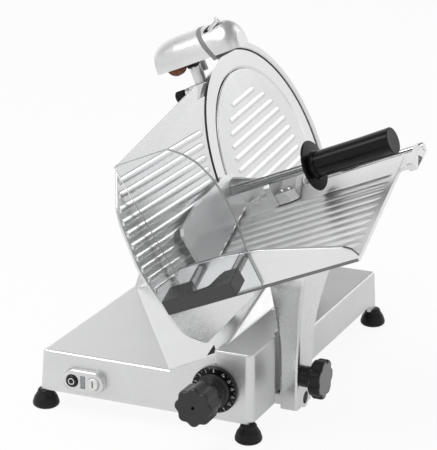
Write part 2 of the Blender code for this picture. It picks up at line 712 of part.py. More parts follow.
def slice_deflector(finish):
    """Thin curved sheet behind the cutting edge that turns the slices down onto the ramp."""
    face = HOUSING_FACE - HOUSING_PLATE - SEAT
    low, high = 160, 236
    radius = BLADE_RADIUS - 0.020
    rows = []
    for lift, grow in ((0, 0.0), (0.014, -0.004), (0.030, -0.016)):
        rows.append((face - lift, radius + grow))
    loops = []
    for i in range(13):
        t = radians(low + (high - low) * i / 12)
        line = [(d, r) for d, r in rows] + [(d + 0.0, r - 0.0016) for d, r in reversed(rows)]
        loops.append([slope(d, BLADE_Y + r * cos(t), BLADE_U + r * sin(t)) for d, r in line])
    return body("slice_deflector", mesh_of(loops), finish)


# Gauge plate

def gauge_outline():
    """Gauge plate outline as (y, u), from the upper point round the front to the blade's arc."""
    reach = BLADE_RADIUS + GAUGE_GAP
    end = radians(222)
    start = radians(131)
    cy, cu = BLADE_Y, BLADE_U
    arc_top = (cy + reach * cos(start), cu + reach * sin(start))
    front = [(0.2100, 0.3020), (-0.0520, 0.2630), (-0.0930, 0.2130), (-0.0930, 0.1450),
             (-0.0550, 0.0530), (-0.0080, 0.0235), (0.1420, 0.0325)]
    radii = [0.004, 0.012, 0.050, 0.060, 0.080, 0.016, 0.010]
    shape = rounded(front + [(cy + reach * cos(end), cu + reach * sin(end)), arc_top, (0.1900, 0.2840)],
                    radii + [0, 0, 0], 3)
    arc_points = arc((cy, cu), reach, 222, 131, 16)
    first = arc_points[0]
    index = min(range(len(shape)), key=lambda i: hypot(shape[i][0] - first[0], shape[i][1] - first[1]))
    return shape[:index] + arc_points + shape[index + 2:]


def gauge_plate(finish, pivot):
    face = BLADE_D
    outline = gauge_outline()
    plate = soften(prism(outline, lambda a, b, c: slope(c, a, b), face - GAUGE_THICKNESS, face - GAUGE_RIB_HEIGHT),
                   0.0008, 1, 50)
    piece = body("gauge_plate", plate, finish, pivot)
    reach = BLADE_RADIUS + GAUGE_GAP + 0.009
    ribs = []
    for i in range(GAUGE_RIB_COUNT):
        u = GAUGE_RIB_TOP - GAUGE_RIB_PITCH * i
        front = gauge_edge(u, -1) + 0.004
        if abs(u - BLADE_U) < reach:
            back = BLADE_Y - (reach ** 2 - (u - BLADE_U) ** 2) ** 0.5
        else:
            back = gauge_edge(u, 1) - 0.006
        w = 0.0040
        rows = []
        for y, k in ((front, 0.7), (back - 0.014, 1), (back, 0.3)):
            rows.append([slope(face - GAUGE_RIB_HEIGHT - 0.0006, y, u - w * k), slope(face, y, u - w * 0.4 * k),
                         slope(face, y, u + w * 0.4 * k), slope(face - GAUGE_RIB_HEIGHT - 0.0006, y, u + w * k)])
        ribs.append(mesh_of(rows))
    join(piece, together(*ribs))
    return piece


def gauge_edge(u, side):
    """Where the gauge plate's outline crosses a height: the front edge for -1, the back for 1."""
    crossings = []
    outline = gauge_outline()
    for (y0, u0), (y1, u1) in zip(outline, outline[1:] + outline[:1]):
        if (u0 - u) * (u1 - u) < 0:
            crossings.append(y0 + (y1 - y0) * (u - u0) / (u1 - u0))
    return min(crossings) if side < 0 else max(crossings)


def gauge_bracket(finish, pivot):
    """Cast arm that carries the plate, with a foot inside the base that runs on the short sloping rod."""
    y0, y1 = GAUGE_ARM_Y - 0.011, GAUGE_ARM_Y + 0.011
    back = BLADE_D - GAUGE_THICKNESS - SEAT
    outline = [(back, 0.100), (back, 0.045), (0.2160, 0.012), (0.2070, -0.016), (0.2070, -0.038),
               (0.1900, -0.038), (0.1900, -0.016), (0.1980, 0.014), (back - 0.0120, 0.055),
               (back - 0.0080, 0.100)]
    arm = soften(prism(outline, lambda a, b, c: slope(a, c, b), y0, y1), 0.0012)
    piece = body("gauge_bracket", arm, finish, pivot)
    centre = slope(0, GAUGE_ROD_Y, GAUGE_ROD_U)
    foot = prism([(0.1905, -0.0375), (0.2065, -0.0375), (0.2065, -0.0165), (0.1905, -0.0165)],
                 lambda a, b, c: slope(a, c, b), GAUGE_ROD_Y, GAUGE_ARM_Y)
    join(piece, foot)
    join(piece, rod(GAUGE_ROD_RADIUS + 0.0060, centre, AXIS, SLEEVE_LOW, SLEEVE_HIGH, 16))
    cut(piece, rod(GAUGE_ROD_RADIUS + RUN, centre, AXIS, SLEEVE_LOW - 0.01, SLEEVE_HIGH - 0.0030, 14))
    return piece


def gauge_rod(finish):
    centre = slope(0, GAUGE_ROD_Y, GAUGE_ROD_U)
    return body("gauge_guide_rod", rod(GAUGE_ROD_RADIUS, centre, AXIS, 0.1496, SLEEVE_HIGH - 0.0035 - GAUGE_TRAVEL,
                                       14, 0.0008), finish)


def gauge_rod_bracket(finish):
    """Block under the base's top that holds the low end of the gauge rod."""
    y0, y1 = GAUGE_ROD_Y - 0.014, GAUGE_ROD_Y + 0.014
    top = BASE_TOP - BASE_WALL - SEAT
    points = []
    for y in (y0, y1):
        points += [slope(0.1492, y, -0.0350), slope(0.1562, y, -0.0350), Vector((0.1560, y, top)),
                   Vector((0.1360, y, top))]
    piece = body("gauge_rod_bracket", hull(points, 0.0008, 1), finish)
    centre = slope(0, GAUGE_ROD_Y, GAUGE_ROD_U)
    cut(piece, rod(GAUGE_ROD_RADIUS + SEAT, centre, AXIS, 0.14, 0.17, 14),
        rod(GAUGE_ROD_RADIUS + 0.0075, centre, AXIS, SLEEVE_LOW - GAUGE_TRAVEL - 0.0011, 0.19, 16))
    return piece


# Controls

def front(x, y, z):
    return Vector((x, y, z))


def dial_knob(finish, pivot):
    """Lobed knob with its stepped hub and the shaft that runs into the base."""
    face = BASE_FRONT - KNOB_REACH
    axis = Vector((0, -1, 0))
    centre = front(DIAL_X, 0, DIAL_Z)
    disc_front = -(BASE_FRONT - SEAT - DIAL_THICKNESS - SEAT)
    hub = [(0, disc_front), (0.0215, disc_front), (0.0215, disc_front + 0.0035), (0.0180, disc_front + 0.0045),
           (0.0180, disc_front + 0.0085), (0.0150, disc_front + 0.0095), (0.0140, disc_front + 0.0230),
           (0.0150, disc_front + 0.0330), (0, disc_front + 0.0330)]
    knob = body("dial_knob", turned(hub, centre, axis, 18), finish, pivot)
    outline = lobed(KNOB_RADIUS, 0.0026, KNOB_LOBES, 40)
    rows = []
    for y, k in ((face + 0.0370, 0.80), (face + 0.0310, 0.95), (face + 0.0250, 1.0), (face + 0.0040, 1.0),
                 (face, 0.90)):
        rows.append([front(DIAL_X + a * k, y, DIAL_Z + b * k) for a, b in outline])
    join(knob, mesh_of(rows), rod(0.0050, centre, BACK, -0.030, 0.0520, 12))
    cut(knob, rod(0.0032, centre, BACK, face - 0.01, face + 0.0060, 12))
    return knob


def dial_disc(finish, pivot):
    centre = front(DIAL_X, 0, DIAL_Z)
    low = BASE_FRONT - SEAT - DIAL_THICKNESS
    profile = [(0.0050 + SEAT, low), (DIAL_RADIUS - 0.0014, low), (DIAL_RADIUS, low + 0.0014),
               (DIAL_RADIUS, low + DIAL_THICKNESS), (0.0050 + SEAT, low + DIAL_THICKNESS)]
    return body("dial_disc", turned(profile, centre, BACK, 32, closed=True), finish, pivot)


def dial_cam(finish, pivot):
    """Snail on the dial's shaft whose rim pushes the gauge bracket's sleeve."""
    start = atan2(AXIS.z, AXIS.x) + pi
    outline = []
    steps = 33
    turn = radians(DIAL_TURN)
    for i in range(steps + 1):
        t = turn * i / steps
        radius = CAM_LOW + GAUGE_TRAVEL * t / turn
        outline.append((radius * cos(start - t), radius * sin(start - t)))
    lead = radians(26)
    outline = [(CAM_LOW * cos(start + lead), CAM_LOW * sin(start + lead))] + outline
    cam = prism(outline, lambda a, b, c: front(DIAL_X + a, c, DIAL_Z + b), 0.0330, 0.0400)
    piece = body("dial_cam", cam, finish, pivot)
    centre = front(DIAL_X, 0, DIAL_Z)
    join(piece, rod(0.0095, centre, BACK, 0.0390, 0.0480, 12))
    cut(piece, rod(0.0050 + SEAT, centre, BACK, 0.02, 0.06, 12))
    return piece


def switch_housing(finish):
    outline = stadium(SWITCH_WIDTH, SWITCH_HEIGHT)
    rows = []
    for y, k in ((BASE_FRONT - SEAT, 0.0), (BASE_FRONT - 0.0062, 0.0), (BASE_FRONT - 0.0088, -0.0012),
                 (BASE_FRONT - 0.0095, -0.0030)):
        rows.append([front(SWITCH_X + a * (1 + k / (SWITCH_WIDTH / 2)), y, SWITCH_Z + b * (1 + k / (SWITCH_HEIGHT / 2)))
                     for a, b in outline])
    piece = body("switch_housing", mesh_of(rows), finish)
    join(piece, block((SWITCH_X - 0.0235, SWITCH_X + 0.0235), (BASE_FRONT - 0.004, BASE_FRONT + 0.0240),
                      (SWITCH_Z - 0.0100, SWITCH_Z + 0.0100)))
    for side in (-1, 1):
        cut(piece, rod(0.0082 + SEAT, front(SWITCH_X + side * 0.0145, 0, SWITCH_Z), BACK, BASE_FRONT - 0.02,
                       BASE_FRONT + 0.0040, 16))
    cut(piece, block((SWITCH_X - 0.0030 - SEAT, SWITCH_X + 0.0030 + SEAT), (BASE_FRONT - 0.02, BASE_FRONT + 0.0020),
                     (SWITCH_Z - 0.0080 - SEAT, SWITCH_Z + 0.0080 + SEAT)))
    return piece


def push_button(name, side, finish):
    pivot = front(SWITCH_X + side * 0.0145, BASE_FRONT, SWITCH_Z)
    low = BASE_FRONT - 0.0125
    profile = [(0, low + 0.0006), (0.0050, low + 0.0004), (0.0066, low), (0.0078, low + 0.0012),
               (0.0078, BASE_FRONT - 0.0004), (0, BASE_FRONT - 0.0004)]
    return body(name, turned(profile, front(pivot.x, 0, pivot.z), BACK, 14), finish, pivot)


def indicator_lamp(finish):
    x, z = SWITCH_X, SWITCH_Z
    lamp = block((x - 0.0030, x + 0.0030), (BASE_FRONT - 0.0105, BASE_FRONT + 0.0015), (z - 0.0080, z + 0.0080))
    return body("indicator_lamp", soften(lamp, 0.0008), finish)


def control_board(finish):
    """Board under the base's top with its relay, capacitor and terminal block."""
    top = BASE_TOP - BASE_WALL
    board = body("control_board", block((0.020, 0.110), (0.060, 0.130), (top - 0.0110, top - 0.0092)), finish)
    join(board, block((0.028, 0.048), (0.070, 0.090), (top - 0.0270, top - 0.0105)),
         rod(0.0090, Vector((0.070, 0.095, 0)), UP, top - 0.0330, top - 0.0105, 16),
         block((0.085, 0.104), (0.066, 0.122), (top - 0.0220, top - 0.0105)),
         together(*[rod(0.0026, Vector((x, y, 0)), UP, top - 0.0100, top - SEAT, 8)
                    for x in (0.025, 0.105) for y in (0.064, 0.126)]))
    return board


def cable_gland(finish):
    """Threaded inlet through the rear wall, with its hexagon and its dome."""
    x, z = 0.060, 0.052
    wall = BASE_REAR - BASE_DRAFT / 2 + SEAT + 0.0014
    centre = front(x, 0, z)
    profile = [(0.0045, wall - 0.016), (0.0080, wall - 0.016), (0.0080, wall), (0.0115, wall), (0.0115, wall + 0.0030),
               (0.0095, wall + 0.0040), (0.0095, wall + 0.0110), (0.0070, wall + 0.0155), (0.0045, wall + 0.0160)]
    return body("cable_gland", turned(profile, centre, BACK, 12, closed=True), finish)


# Carriage

def carriage_rod(finish):
    centre = Vector((GUIDE_ROD_X, 0, GUIDE_ROD_Z))
    return body("carriage_guide_rod", rod(GUIDE_ROD_RADIUS, centre, BACK, 0.0705, 0.4200, 16, 0.001), finish)


def rod_bracket(finish):
    top = BASE_TOP - BASE_WALL - SEAT
    centre = Vector((GUIDE_ROD_X, 0, GUIDE_ROD_Z))
    shape = block((GUIDE_ROD_X - 0.0150, GUIDE_ROD_X + 0.0150), (0.4080, 0.4215), (GUIDE_ROD_Z - 0.0130, top))
    piece = body("carriage_rod_bracket", soften(shape, 0.001), finish)
    cut(piece, rod(GUIDE_ROD_RADIUS + SEAT, centre, BACK, 0.40, 0.43, 16))
    return piece


def support_rail(finish):
    top = BASE_TOP - BASE_WALL - SEAT
    rail = block((GUIDE_ROD_X - 0.0040, GUIDE_ROD_X + 0.0040), (0.0820, 0.4070), (top - 0.0070, top))
    return body("support_rail", soften(rail, 0.0006), finish)


def carriage_slider(finish, pivot):
    x0, x1 = GUIDE_ROD_X - 0.0135, GUIDE_ROD_X + 0.0135
    top = BASE_TOP - BASE_WALL - 0.0012
    shape = block((x0, x1), (0.0840, 0.1380), (0.0303, top))
    piece = body("carriage_slider", soften(shape, 0.0015), finish, pivot)
    centre = Vector((GUIDE_ROD_X, 0, GUIDE_ROD_Z))
    cut(piece, rod(GUIDE_ROD_RADIUS + RUN, centre, BACK, 0.07, 0.15, 16),
        block((GUIDE_ROD_X - 0.0040 - RUN, GUIDE_ROD_X + 0.0040 + RUN), (0.07, 0.15),
              (BASE_TOP - BASE_WALL - 0.0082, BASE_TOP)))
    return piece


def carriage_arm(finish, pivot):
    """Cast arm: a foot that passes under the base's right wall, and a leg that rises to the tray."""
    sections = [(ARM_BOTTOM, 0.2815, 0.3050, 0.0780, 0.1280), (0.040, 0.2815, 0.3060, 0.0760, 0.1275),
                (0.065, 0.2815, 0.3070, 0.0750, 0.1265), (0.095, 0.2820, 0.3090, 0.0720, 0.1240),
                (0.125, 0.2835, 0.3140, 0.0620, 0.1200), (0.155, 0.2855, 0.3210, 0.0460, 0.1180),
                (0.185, 0.2875, 0.3300, 0.0290, 0.1170), (0.215, 0.2895, 0.3390, 0.0160, 0.1170),
                (0.285, 0.2940, 0.3500, 0.0120, 0.1200)]
    rows = []
    for z, x0, x1, y0, y1 in sections:
        outline = rounded(rectangle((x0, x1), (y0, y1)), [0.0050, 0.0040, 0.0060, 0.0050], 2)
        rows.append([Vector((x, y, z)) for x, y in outline])
    arm = body("carriage_arm", mesh_of(rows), finish, pivot)
    foot_plate = block((GUIDE_ROD_X - 0.0125, 0.2860), (0.0880, 0.1240), (ARM_BOTTOM + 0.0005, 0.0300))
    lug = rod(0.0125, Vector((0, 0.1050, 0.0225)), RIGHT, 0.2818, 0.3052, 24)
    join(arm, soften(foot_plate, 0.0015), lug)
    under = TRAY_BOTTOM - SEAT
    slab = [tray(a, b, under) for a, b in ((-0.10, -0.10), (0.40, -0.10), (0.40, 0.40), (-0.10, 0.40))]
    cut(arm, mesh_of([slab, [p + TRAY_H * 0.15 for p in slab]]),
        rod(0.0080, Vector((0, 0.1050, 0.0225)), RIGHT, 0.2870, 0.33, 20))
    return arm


def carriage_tray(finish, pivot):
    """Ribbed plate with its upright front plate and the two ears that hold the pusher's rod."""
    right = TRAY_LENGTH
    low, top = TRAY_BOTTOM, TRAY_BOTTOM + TRAY_THICKNESS
    corners = [(TRAY_GAP, 0.0), (right - 0.003, 0.0), (right + 0.001, TRAY_WIDTH), (TRAY_GAP, TRAY_WIDTH)]
    outline = rounded(corners, [0, 0, 0.010, 0.004], 4)
    plate = prism(outline, tray, low, top)
    piece = body("carriage_tray", plate, finish, pivot)
    fence = [(TRAY_GAP, low), (right - 0.0035, low), (right - 0.0028, 0.0080), (right - 0.0065, 0.0160),
             (right - 0.0150, FRONT_PLATE_LOW),
             (0.1160, 0.0488), (0.1000, 0.0512), (0.0670, FRONT_PLATE_HEIGHT), (TRAY_GAP, FRONT_PLATE_HEIGHT)]
    fence_outline = rounded(fence, [0, 0, 0.004, 0.008, 0.010, 0.030, 0.030, 0.030, 0.010], 2)
    upright = prism(fence_outline, lambda a, b, c: tray(a, c, b), 0.0, 0.0052)
    ribs = []
    for i in range(TRAY_RIB_COUNT):
        s = 0.009 + TRAY_RIB_PITCH * (i + 0.5)
        w = TRAY_RIB_PITCH * 0.30
        rows = []
        for d, k in ((TRAY_GAP + 0.004, 1), (right - 0.006, 1)):
            rows.append([tray(d, s - w * k, top - 0.0007), tray(d, s - w * 0.45 * k, top + TRAY_RIB_HEIGHT),
                         tray(d, s + w * 0.45 * k, top + TRAY_RIB_HEIGHT), tray(d, s + w * k, top - 0.0007)])
        ribs.append(mesh_of(rows))
    ears = []
    ear_right = (right + 0.0105, right + 0.0210)
    for d0, d1, s0 in ((EAR_LEFT, EAR_LEFT + 0.0085, TRAY_WIDTH - 0.0105), (*ear_right, TRAY_WIDTH - 0.0335)):
        outline = rounded([(s0, low - 0.0040), (ROD_S + 0.0065, low - 0.0060), (ROD_S + 0.0070, ROD_H + 0.0060),
                           (ROD_S - 0.0075, ROD_H + 0.0060), (TRAY_WIDTH + 0.0005, top + 0.0014), (s0, top + 0.0014)],
                          [0.003, 0.006, 0.006, 0.004, 0.002, 0.002], 2)
        ears.append(prism(outline, lambda a, b, c: tray(c, a, b), d0, d1))
    web = [(right - 0.006, TRAY_WIDTH - 0.0335), (right + 0.0120, TRAY_WIDTH - 0.0335),
           (right + 0.0120, TRAY_WIDTH + 0.0015), (right - 0.006, TRAY_WIDTH + 0.0015)]
    join(piece, upright, together(*ribs), *ears)
    join(piece, prism(web, tray, low + 0.0002, top - 0.0003))
    cut(piece, rod(ROD_RADIUS + SEAT, tray(0, ROD_S, ROD_H), AXIS, 0.0, 0.30, 14))
    for d in STANDOFFS:
        cut(piece, rod(0.0030, tray(d, 0, STANDOFF_H), TRAY_S, -0.01, 0.02, 12))
    return piece


def hand_guard(finish, pivot):
    """Clear sheet in front of the upright plate, tall enough to cover the blade's front."""
    outline = [(TRAY_GAP + 0.0012, 0.2050), (0.0040, 0.0040), (0.1000, 0.0040), (0.1020, 0.0410), (0.1110, 0.0880),
               (0.1140, 0.1230), (0.1120, 0.1530), (0.1050, 0.1760), (0.0940, 0.1920), (0.0790, 0.2050)]
    outline[1] = (TRAY_GAP, 0.0040)
    shape = rounded(outline, [0.003, 0.002, 0.004, 0.03, 0.05, 0.05, 0.04, 0.03, 0.02, 0.016], 2)
    low, high = SEAT, SEAT + GUARD_SHEET
    sheet = prism(shape, lambda a, b, c: tray(a, -c, b), low, high)
    piece = body("hand_guard", sheet, finish, pivot)
    for d in STANDOFFS:
        cut(piece, rod(0.0034, tray(d, 0, STANDOFF_H), TRAY_S, -0.02, 0.02, 12))
    return piece


def carriage_handle(finish, pivot):
    """Black grip, open towards the plate so that the fingers go behind it."""
    low, high = 0.0386, 0.0575
    outline = [(0.0146, 0.0760), (0.1077, 0.0760), (0.1077, 0.0430), (0.0890, 0.0430), (0.0840, 0.0500),
               (0.0760, 0.0680), (0.0600, 0.0690), (0.0560, 0.0680), (0.0500, 0.0500), (0.0455, 0.0430),
               (0.0146, 0.0430)]
    shape = rounded(outline, [0.002, 0.002, 0.002, 0.002, 0.004, 0.006, 0.004, 0.006, 0.004, 0.002, 0.002], 1)
    grip = soften(prism(shape, lambda a, b, c: tray(a, -b, c), low, high), 0.0014, 1, 60)
    return body("carriage_handle", grip, finish, pivot)


def handle_standoff(name, d, finish, pivot):
    """Turned post between the plates and the handle, with a round head inside the tray."""
    start = SEAT * 2 + GUARD_SHEET
    profile = [(0, -0.0430 + SEAT), (0.0056, -0.0430 + SEAT), (0.0060, -0.0424 + SEAT), (0.0060, -start),
               (0.0024, -start), (0.0024, 0.0052 + SEAT), (0.0050, 0.0052 + SEAT), (0.0044, 0.0078), (0, 0.0082)]
    return body(name, turned(profile, tray(d, 0, STANDOFF_H), TRAY_S, 14), finish, pivot)


def lock_knob(finish, pivot):
    """Lobed knob on the carriage arm, with its flat outer face."""
    start = 0.3074
    outline = lobed(0.0250, 0.0034, 7, 35)
    rows = []
    for x, k in ((0.3215, 0.84), (0.3250, 1.0), (0.3350, 1.0), (0.3378, 0.90)):
        rows.append([Vector((x, pivot.y + a * k, pivot.z + b * k)) for a, b in outline])
    piece = body("carriage_lock_knob", mesh_of(rows), finish, pivot)
    hub = turned([(0, start), (0.0132, start), (0.0132, start + 0.0090), (0.0110, start + 0.0150), (0, start + 0.0150)],
                 Vector((0, pivot.y, pivot.z)), RIGHT, 16)
    join(piece, hub)
    return piece


# Pusher

def pusher_rod(finish, pivot):
    return body("pusher_guide_rod", rod(ROD_RADIUS, tray(0, ROD_S, ROD_H), AXIS, EAR_LEFT - 0.0010, TRAY_LENGTH + 0.0222,
                                          14, 0.0008),
                finish, pivot)


def pusher_bushing(finish, pivot):
    centre = tray(0, ROD_S, ROD_H)
    low, high = BLOCK_LOW - 0.0016, BLOCK_HIGH + 0.0016
    inner, outer, rim = ROD_RADIUS + RUN, ROD_RADIUS + 0.0020, ROD_RADIUS + 0.0034
    profile = [(inner, low), (rim, low), (rim, low + 0.0013), (outer, low + 0.0013), (outer, high - 0.0013),
               (rim, high - 0.0013), (rim, high), (inner, high)]
    return body("pusher_bushing", turned(profile, centre, AXIS, 14, closed=True), finish, pivot)


def pusher_arm(finish, pivot):
    """Block that turns on the bushing, with a leg whose notch carries the pusher's shaft."""
    sleeve = ROD_RADIUS + 0.0020 + SEAT
    front_s = SHAFT_S - 0.0095
    top = BLOCK_TOP_H
    plan = rounded([(BLOCK_LOW + 0.0020, front_s + 0.0020), (BLOCK_HIGH - 0.0040, front_s + 0.0020),
                    (BLOCK_HIGH + 0.0080, front_s + 0.0060), (BLOCK_HIGH - 0.0003, ROD_S - 0.0105),
                    (BLOCK_HIGH - 0.0003, ROD_S + 0.0068), (BLOCK_LOW + 0.0010, ROD_S + 0.0068)],
                   [0.001, 0.002, 0.002, 0.001, 0.002, 0.001], 1)
    piece = body("pusher_arm", soften(prism(plan, tray, TRAY_BOTTOM + TRAY_THICKNESS + 0.0012, top), 0.0010, 1, 50),
                 finish, pivot)
    leg = rounded([(front_s, 0.0066), (front_s, SHAFT_H - 0.0065), (SHAFT_S - 0.0030, SHAFT_H - 0.0022),
                   (SHAFT_S + 0.0095, SHAFT_H + 0.0030), (SHAFT_S + 0.0150, SHAFT_H - 0.0080),
                   (ROD_S - 0.0095, top - 0.0010), (ROD_S - 0.0095, 0.0066)],
                  [0.001, 0.001, 0, 0.003, 0.006, 0.006, 0.001], 1)
    around = rounded([(ROD_S - 0.0078, -0.0055), (ROD_S + 0.0078, -0.0055), (ROD_S + 0.0078, top - 0.0006),
                      (ROD_S - 0.0078, top - 0.0006)], [0.004, 0.004, 0.003, 0.001], 2)
    join(piece, prism(leg, lambda a, b, c: tray(c, a, b), BLOCK_LOW, BLOCK_LOW + 0.0085))
    join(piece, prism(around, lambda a, b, c: tray(c, a, b), BLOCK_LOW + 0.0004, BLOCK_HIGH - 0.0004))
    cut(piece, rod(sleeve, tray(0, ROD_S, ROD_H), AXIS, BLOCK_LOW - 0.01, BLOCK_HIGH + 0.01, 14),
        rod(SHAFT_RADIUS + SEAT, tray(0, SHAFT_S, SHAFT_H), AXIS, BLOCK_LOW - 0.01, BLOCK_HIGH + 0.01, 14))
    return piece


def pusher_plate(finish, pivot):
    """Plate across the tray that holds the food, with teeth along its lower edge."""
    lower = TRAY_BOTTOM + TRAY_THICKNESS + TRAY_RIB_HEIGHT + 0.0016
    outline = [(0.0500, lower + 0.004), (0.0500, 0.0720), (0.0560, 0.0780), (0.1080, 0.0780), (0.1160, 0.0760),
               (ROD_S - 0.0325, 0.0600), (ROD_S - 0.0165, 0.0500), (ROD_S - 0.0155, 0.0110)]
    teeth = []
    steps = 17
    for i in range(steps + 1):
        s = ROD_S - 0.0175 - (ROD_S - 0.0175 - 0.0540) * i / steps
        teeth.append((s, lower + (0.0 if i % 2 else 0.0034)))
    shape = outline + teeth
    piece = body("pusher_plate", prism(shape, lambda a, b, c: tray(c, a, b), PUSHER_D, PUSHER_D + PUSHER_PLATE),
                 finish, pivot)
    web = [(PUSHER_D + 0.0010, lower + 0.0030), (PUSHER_D + 0.0100, lower + 0.0030), (BLOCK_LOW - 0.0008, BLOCK_TOP_H),
           (BLOCK_LOW - 0.0008, BLOCK_TOP_H + 0.0130), (PUSHER_D + 0.0010, 0.0520)]
    join(piece, prism(web, lambda a, b, c: tray(a, c, b), ROD_S - 0.0265, ROD_S - 0.0235))
    cut(piece, rod(SHAFT_RADIUS * 0.7 + SEAT, tray(0, SHAFT_S, SHAFT_H), AXIS, PUSHER_D - 0.01, 0.03, 16))
    return piece


def pusher_shaft(finish, pivot):
    """Turned shaft with the round flange that keeps the hand away from the blade."""
    grip = GRIP_START
    profile = [(0, PUSHER_D + 0.0006), (SHAFT_RADIUS * 0.7, PUSHER_D + 0.0006),
               (SHAFT_RADIUS * 0.7, PUSHER_D + PUSHER_PLATE + SEAT), (SHAFT_RADIUS, PUSHER_D + PUSHER_PLATE + SEAT),
               (SHAFT_RADIUS, grip - 0.0060), (SHAFT_RADIUS * 0.8, grip - 0.0060), (SHAFT_RADIUS * 0.8, grip + 0.050),
               (0, grip + 0.050)]
    return body("pusher_shaft", turned(profile, tray(0, SHAFT_S, SHAFT_H), AXIS, 14), finish, pivot)


def pusher_grip(finish, pivot):
    """Round grip with its flange at the blade end and a flared cap at the other."""
    a = GRIP_START
    r = GRIP_RADIUS
    bore = SHAFT_RADIUS * 0.8 + SEAT
    profile = [(0, a + 0.0520), (bore, a + 0.0510), (bore, a - 0.0055), (0.0140, a - 0.0055),
               (GRIP_FLANGE - 0.0020, a - 0.0030), (GRIP_FLANGE, a - 0.0010), (GRIP_FLANGE - 0.0016, a + 0.0012),
               (r + 0.0040, a + 0.0040), (r - 0.0012, a + 0.0085), (r - 0.0014, a + 0.0300), (r, a + 0.0600),
               (r + 0.0010, a + 0.1040), (r - 0.0020, a + GRIP_LENGTH), (0, a + GRIP_LENGTH)]
    return body("pusher_grip", turned(profile, tray(0, SHAFT_S, SHAFT_H), AXIS, 20), finish, pivot)


def pusher_screw(name, d, finish, pivot):
    """Cap screw set in the top of the block, under the shaft."""
    low = BLOCK_TOP_H + SEAT
    profile = [(0, low), (0.0036, low), (0.0036, low + 0.0028), (0.0030, low + 0.0034), (0.0016, low + 0.0034),
               (0.0016, low + 0.0019), (0, low + 0.0019)]
    return body(name, turned(profile, tray(d, SHAFT_S, 0), TRAY_H, 10), finish, pivot)


# Sharpener

def loaf(half, low, high, shrink=0.0):
    """Half-round outline of the sharpener's cover, as (y, u)."""
    shoulder = low + (high - low) * 0.20
    points = [(SHARPENER_Y - half, low), (SHARPENER_Y + half, low), (SHARPENER_Y + half, shoulder)]
    for i in range(1, 11):
        t = pi * i / 11
        points.append((SHARPENER_Y + half * cos(t), shoulder + (high - shoulder) * sin(t)))
    points.append((SHARPENER_Y - half, shoulder))
    return points


def sharpener_cover(name, low_d, high_d, round_low, finish, pivot):
    """Half-round shell, open underneath and at the leaning seam, with one rounded end."""
    wall = 0.0022
    low, tall = SHELL_LOW, SHARPENER_TOP - SHELL_LOW

    def at_seam(y, u, d):
        return slope(d + (SEAM_MIDDLE - u) * SEAM_LEAN, y, u)

    outer = []
    start, stop = (low_d, high_d) if round_low else (high_d, low_d)
    step = 1 if stop > start else -1
    reaches = (0.0, 0.0040, 0.0110, 0.0220, 0.0360) if round_low else (0.0, 0.0022, 0.0060, 0.0110, 0.0170)
    for reach, k in zip(reaches, (0.74, 0.84, 0.92, 0.975, 1.0)):
        outer.append([slope(start + step * reach, y, u) for y, u in loaf(SHARPENER_HALF * k, low, low + tall * k)])
    outer.append([at_seam(y, u, stop) for y, u in loaf(SHARPENER_HALF, low, SHARPENER_TOP)])
    piece = body(name, mesh_of(outer), finish, pivot)
    inner = []
    for reach, k in zip(reaches[1:], (0.74, 0.83, 0.89, 0.91)):
        inner.append([slope(start + step * (reach - 0.0012), y, u)
                      for y, u in loaf(SHARPENER_HALF * k, low - 0.01, low + tall * k)])
    inner.append([at_seam(y, u, stop + step * 0.0003) for y, u in loaf(SHARPENER_HALF * 0.92, low - 0.01,
                                                                    low + tall * 0.93)])
    inner.append([at_seam(y, u, stop + step * 0.0100) for y, u in loaf(SHARPENER_HALF * 0.92, low - 0.01,
                                                                    low + tall * 0.93)])
    cut(piece, mesh_of(inner))
    return piece


def sharpener_post(finish, pivot):
    profile = [(0, SHARPENER_LOW - 0.0510), (POST_RADIUS - 0.001, SHARPENER_LOW - 0.0510),
               (POST_RADIUS, SHARPENER_LOW - 0.0500), (POST_RADIUS, SHARPENER_LOW + 0.0100), (0, SHARPENER_LOW + 0.0100)]
    return body("sharpener_post", turned(profile, slope(POST_D, SHARPENER_Y, 0), RISE, 16), finish, pivot)


def sharpener_bracket(finish, pivot):
    """Inner casting that sits on the post and carries the stones over the blade's edge."""
    y = SHARPENER_Y

    def at(a, b, c):
        return slope(a, c, b)

    left, low, high = POST_D - 0.0260, POST_D - 0.0120, POST_D + 0.0130
    outline = [(low, SHARPENER_LOW + 0.0020), (high, SHARPENER_LOW + 0.0020), (high, SHARPENER_LOW + 0.0150),
               (0.2540, SHARPENER_LOW + 0.0150), (0.2540, SHARPENER_LOW + 0.0270), (left, SHARPENER_LOW + 0.0270),
               (left, SHARPENER_LOW + 0.0040), (low, SHARPENER_LOW + 0.0040)]
    piece = body("sharpener_bracket", soften(prism(outline, at, y - 0.0110, y + 0.0120), 0.0008), finish, pivot)
    cut(piece, rod(POST_RADIUS + SEAT, slope(POST_D, y, 0), RISE, SHARPENER_LOW - 0.02, SHARPENER_LOW + 0.0103, 16))
    return piece


def sharpener_frame(finish, pivot):
    """Seam plate between the two covers, with the lug for the second stone."""
    outline = loaf(SHARPENER_HALF + 0.0006, SHARPENER_LOW - 0.0010, SHARPENER_TOP + 0.0006)
    plate = soften(prism(outline, lambda y, u, d: slope(d + (SEAM_MIDDLE - u) * SEAM_LEAN, y, u), 0.2572, 0.2634),
                   0.0005, 1, 50)
    piece = body("sharpener_frame", plate, finish, pivot)
    y = SHARPENER_Y
    join(piece, prism([(0.2660, SHARPENER_LOW + 0.0070), (0.2890, SHARPENER_LOW + 0.0070),
                       (0.2890, SHARPENER_LOW + 0.0230), (0.2600, SHARPENER_LOW + 0.0230)],
                      lambda a, b, c: slope(a, c, b), y - 0.0100, y + 0.0080))
    return piece


